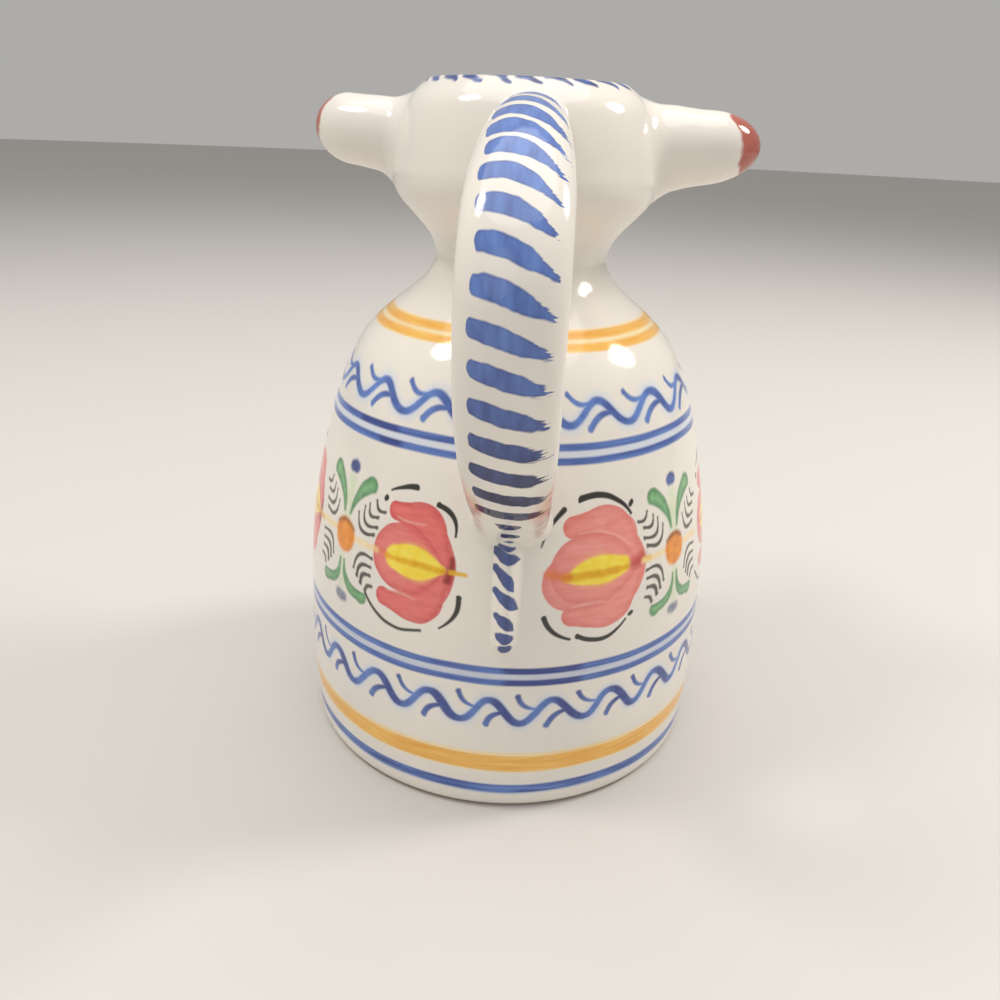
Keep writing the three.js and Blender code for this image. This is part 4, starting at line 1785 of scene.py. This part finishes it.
@dataclass
class TailStrip(ClayPiece):
    """The thin strip below the handle, pressed on and smoothed down at its edges."""

    width: float = 5.2
    raise_height: float = 1.8
    top: float = 53.0
    tip: float = 31.8
    tip_length: float = 3.0
    top_lean: float = 1.0
    tip_lean: float = 0.9
    buried: float = 0.8
    edge_sunk: float = 0.05
    tip_share: float = 0.35  # of the width, left at the very tip
    brush_load: float = 0.5
    least_load: float = 0.4
    points: int = 28
    steps: int = 60
    leaves: tuple[Stroke, ...] = (
        Stroke((-0.4, 51.0), (1.5, 51.0), 0.35, 0.3, belly=0.1),
        Stroke((-0.5, 49.75), (1.7, 49.7), 0.35, 0.3, belly=0.1),
        Stroke((-1.1, 48.9), (2.6, 47.8), 0.65, 0.15, belly=0.6, bend=-0.2),
        Stroke((-0.9, 46.1), (2.0, 43.0), 0.7, 0.1, belly=0.55, bend=0.4),
        Stroke((-0.6, 42.5), (2.7, 39.7), 0.7, 0.1, belly=0.55, bend=0.3),
        Stroke((-0.3, 38.6), (2.1, 36.5), 0.7, 0.2, belly=0.5, bend=0.25),
        Stroke((0.3, 35.4), (1.6, 35.1), 0.85, 0.75, belly=0.15),
        Stroke((0.7, 33.2), (1.4, 33.3), 0.85, 0.8),
    )

    def build(self) -> bmesh.types.BMesh:
        """Lofts the strip's bell-shaped sections down the wall.

        Returns:
            The closed skin.
        """
        shares = [2 * j / self.points - 1 for j in range(self.points + 1)]
        rings = []
        for i in range(self.steps + 1):
            height = self.top + (self.tip - self.top) * i / self.steps
            lean = self.top_lean + (self.tip_lean - self.top_lean) * i / self.steps
            left = min(1.0, (height - self.tip) / self.tip_length)
            swell = math.sqrt(max(0.0, 1 - (1 - left) ** 2))
            half = self.width / 2 * (self.tip_share + (1 - self.tip_share) * swell)
            ring = []
            for share in shares:
                bell = (1 + math.cos(math.pi * share)) / 2
                raised = self.raise_height * swell * bell - self.edge_sunk
                ring.append(self.form.on_wall(lean + half * share, height, raised))
            ring += [self.form.on_wall(lean - half * share, height, -self.buried) for share in shares]
            rings.append(ring)
        return loft(rings)

    def dress(self) -> list[bpy.types.Material]:
        """Paints the slanting leaves down the tail.

        Returns:
            The painted glaze.
        """
        sheet = GlazeSheet("tin_glaze_tail", self.glaze)
        place = sheet.hand(sheet.wires["x"], sheet.wires["z"], reach=0.15, width=2.0)
        load = sheet.reckon("load * brush_load + least_load", self)
        sheet.draw(Pigment.COBALT_DEEP, place, *self.leaves, load=load)
        return [sheet.fire()]


@dataclass
class MuzzleSpout(Limb):
    """The hollow muzzle on the far side, with rounded lips that pour."""

    reach: float = 39.0
    root_rise: float = 10.6
    lip_rise: float = 14.6
    width: float = 19.6
    height: float = 16.0
    spout_wall: float = 2.6
    flare: float = 2.6
    flare_length: float = 10.0
    swell: float = 1.6
    swell_length: float = 9.0
    lip_length: float = 4.0
    lip_round: float = 2.8
    overrun: float = 5.0
    fillet: float = 2.4
    rings: int = 40
    lip_steps: int = 12
    lip_turn: float = 1.2  # radius of the turn from the lips into the bore
    bore_steps: int = 12
    throat_sunk: float = 0.2  # how far the bore's inner end lies below the head's surface
    nostril: Stroke = Stroke((2.6, 36.6), (6.0, 34.6), 0.35, 0.75, bend=0.5, feather=0.25)
    nostril_rise: float = 6.0  # above the middle of the lips, clear of the bore

    def pieces(self) -> list[list[Vector]]:
        """Runs straight from inside the head to the lips.

        Returns:
            The control points of the middle line.
        """
        form = self.form
        root = Vector((0, form.head_radius - form.wall - self.overrun, form.neck_height + self.root_rise))
        lips = Vector((0, self.reach, form.neck_height + self.lip_rise))
        return [[root, root.lerp(lips, 0.5), lips]]

    def bore_halves(self) -> Span:
        """Gives the half width and half height of the bore."""
        return self.width / 2 - self.spout_wall, self.height / 2 - self.spout_wall

    def section(self, run: float) -> Span:
        """Flares at the head, swells at the nose and rounds in to the lips.

        Args:
            run: Length along the middle line.

        Returns:
            The half width and half thickness.
        """
        seat = self.form.wall + self.overrun
        length = self.track.length
        flare = self.flare * (1 - eased(run, seat, seat + self.flare_length))
        swell = self.swell * eased(run, length - self.swell_length, length)
        past = max(0.0, 1 - (length - run) / self.lip_length)
        grown = flare + swell - self.lip_round * (1 - math.sqrt(max(0.0, 1 - past * past)))
        return self.width / 2 + grown, self.height / 2 + grown

    def bore_ring(self, run: float, grown: float = 0.0) -> list[Vector]:
        """Gives a ring of the bore.

        Args:
            run: Length along the middle line.
            grown: How much wider the ring is than the bore.

        Returns:
            The places of its points, in millimetres.
        """
        wide, tall = (half + grown for half in self.bore_halves())
        up = self.track.tangent(run).cross(self.across).normalized()
        middle = self.track.at(run)
        return [middle + self.across * math.cos(a) * wide + up * math.sin(a) * tall for a in self.turns()]

    def bore(self) -> bmesh.types.BMesh:
        """Makes the solid that cuts the bore through the head."""
        return loft([self.bore_ring(0.0), self.bore_ring(self.track.length)])

    def build(self) -> bmesh.types.BMesh:
        """Lofts the outside, turns it in at the lips and runs the bore back to the head.

        Returns:
            The closed skin.
        """
        length = self.track.length
        rings, _ = self.shaft(self.lip_length, self.lip_steps)
        rings.append([self.skin(length, a) for a in self.turns()])
        for i in range(1, self.lip_steps):
            bend = math.pi / 2 * i / self.lip_steps
            back, grown = self.lip_turn * (1 - math.cos(bend)), self.lip_turn * (1 - math.sin(bend))
            rings.append(self.bore_ring(length - back, grown))
        root, mouth = self.form.wall + self.overrun, length - self.lip_turn
        shares = [1 - i / self.bore_steps for i in range(self.bore_steps)]
        rings += [self.bore_ring(root + (mouth - root) * share) for share in shares]
        throat = self.bore_ring(root)
        rings.append([p - self.form.outward(p) * (self.form.gap(p) + self.throat_sunk) for p in throat])
        return loft(rings, tube=True)

    def dress(self) -> list[bpy.types.Material]:
        """Paints two plain nostrils.

        Returns:
            The painted glaze.
        """
        sheet = GlazeSheet("tin_glaze_muzzle", self.glaze)
        level = self.form.neck_height + self.lip_rise + self.nostril_rise
        above = sheet.reckon("over(z, level)", level=level)
        place = sheet.hand(sheet.reckon("abs(x)"), sheet.wires["y"], reach=0.15, width=3.0)
        sheet.draw(Pigment.INK, place, self.nostril, within=above)
        return [sheet.fire()]


# Studio


@dataclass
class PhotoCamera:
    """A camera at the photograph's viewpoint, on the handle's side, looking a little down."""

    distance: float = 148.63  # from the jug's axis, level
    height: float = 106.5
    turn: float = 0.9  # degrees round the jug
    pitch: float = 23.593  # degrees down
    pan: float = -0.666
    roll: float = -2.557
    focal: float = 842.637  # pixels of the square photograph
    frame_side: float = 1000.0
    sensor: float = 36.0
    clip_start: float = 0.005  # metres

    def make(self) -> bpy.types.Object:
        """Makes the camera and gives it to the scene.

        Returns:
            The camera.
        """
        pitch, pan, roll = (math.radians(a) for a in (self.pitch, self.pan, self.roll))
        ahead = Vector((math.sin(pan) * math.cos(pitch), math.cos(pan) * math.cos(pitch), -math.sin(pitch)))
        level = ahead.cross(Vector((0, 0, 1))).normalized()
        upright = level.cross(ahead)
        right = level * math.cos(roll) - upright * math.sin(roll)
        up = level * math.sin(roll) + upright * math.cos(roll)
        rig = Matrix((right, up, -ahead)).transposed().to_4x4()
        rig.translation = Vector((0, -self.distance, self.height)) * MM
        data = bpy.data.cameras.new("photo_camera")
        data.sensor_width = self.sensor
        data.lens = self.focal / self.frame_side * self.sensor
        data.clip_start = self.clip_start
        camera = bpy.data.objects.new("photo_camera", data)
        camera.matrix_world = Matrix.Rotation(math.radians(self.turn), 4, "Z") @ rig
        bpy.context.scene.collection.objects.link(camera)
        bpy.context.scene.camera = camera
        return camera


@dataclass(frozen=True)
class Softbox:
    """A round studio lamp: where it stands, how wide it is and how bright."""

    name: str
    place: tuple[float, float, float]  # metres
    width: float
    watts: float
    colour: str = "#ffffff"


@dataclass
class Studio:
    """A pale floor under soft studio light."""

    floor_radius: float = 4.0
    floor_colour: str = "#cfccc8"
    floor_roughness: float = 0.8
    floor_sides: int = 96
    sky_colour: str = "#e1dfdc"
    sky_strength: float = 0.56
    aim: tuple[float, float, float] = (0.0, 0.0, 0.06)
    lamps: tuple[Softbox, ...] = (
        Softbox("left_softbox", (-0.424, -0.075, 0.674), 0.18, 1.5, "#fff7ec"),
        Softbox("right_softbox", (0.555, 0.149, 0.542), 0.2, 2.4, "#fff7ec"),
        Softbox("overhead_softbox", (-0.02, 0.0, 0.85), 1.0, 4.4),
        Softbox("front_softbox", (-0.2, -0.75, 0.45), 0.5, 0.4),
    )

    def make(self) -> None:
        """Builds the floor, the lamps and the sky."""
        self.lay_floor()
        for lamp in self.lamps:
            self.hang(lamp)
        world = bpy.data.worlds.new("studio_sky")
        world.use_nodes = True
        world.node_tree.nodes.clear()
        tree = world.node_tree
        sky = {"Color": linear(self.sky_colour), "Strength": self.sky_strength}
        lit = add_node(tree, "ShaderNodeBackground", sky).outputs[0]
        add_node(tree, "ShaderNodeOutputWorld", {"Surface": lit})
        bpy.context.scene.world = world
        bpy.context.scene.view_settings.view_transform = "Standard"

    def lay_floor(self) -> None:
        """Lays a wide pale disc of matt paper under the jug."""
        shape = bmesh.new()
        bmesh.ops.create_circle(shape, cap_ends=True, radius=self.floor_radius, segments=self.floor_sides)
        floor = mesh_object("studio_floor", shape)
        material, tree = empty_material("matt_paper")
        inputs = {"Base Color": linear(self.floor_colour), "Roughness": self.floor_roughness}
        surface = add_node(tree, "ShaderNodeBsdfPrincipled", inputs).outputs[0]
        add_node(tree, "ShaderNodeOutputMaterial", {"Surface": surface})
        floor.data.materials.append(material)

    def hang(self, lamp: Softbox) -> None:
        """Hangs one lamp so that it faces the jug.

        Args:
            lamp: The lamp.
        """
        data = bpy.data.lights.new(lamp.name, "AREA")
        data.shape = "DISK"
        data.size = lamp.width
        data.energy = lamp.watts
        data.color = linear(lamp.colour)[:3]
        light = bpy.data.objects.new(lamp.name, data)
        light.location = lamp.place
        aim = Vector(self.aim) - Vector(lamp.place)
        light.rotation_euler = aim.to_track_quat("-Z", "Y").to_euler()
        bpy.context.scene.collection.objects.link(light)


def main() -> None:
    """Builds the creamer's pieces in order and sets the studio round them."""
    logging.basicConfig(level=logging.INFO, format="%(name)s %(message)s")
    PhotoCamera().make()
    form, glaze = ThrownForm(), TinGlaze()
    muzzle = MuzzleSpout(form, glaze, "muzzle_spout")
    pieces = [
        BaseDisc(form, glaze, "base_disc", slot="bare_clay"),
        BodyWall(form, glaze, "body_wall"),
        HeadBowl(form, glaze, "head_bowl", muzzle=muzzle),
        muzzle,
        Horn(
            form,
            glaze,
            "left_horn",
            hand=-1,
            reach=33.2,
            sweep=6.8,
            tip_rise=16.4,
            radius=5.45,
            flare=0.35,
            tip_length=6.0,
            cap_length=3.6,
        ),
        Horn(form, glaze, "right_horn"),
        HandleStrap(form, glaze, "handle_strap"),
        TailStrip(form, glaze, "tail_strip"),
    ]
    for piece in pieces:
        piece.make()
    Studio().make()


if __name__ == "__main__":
    main()
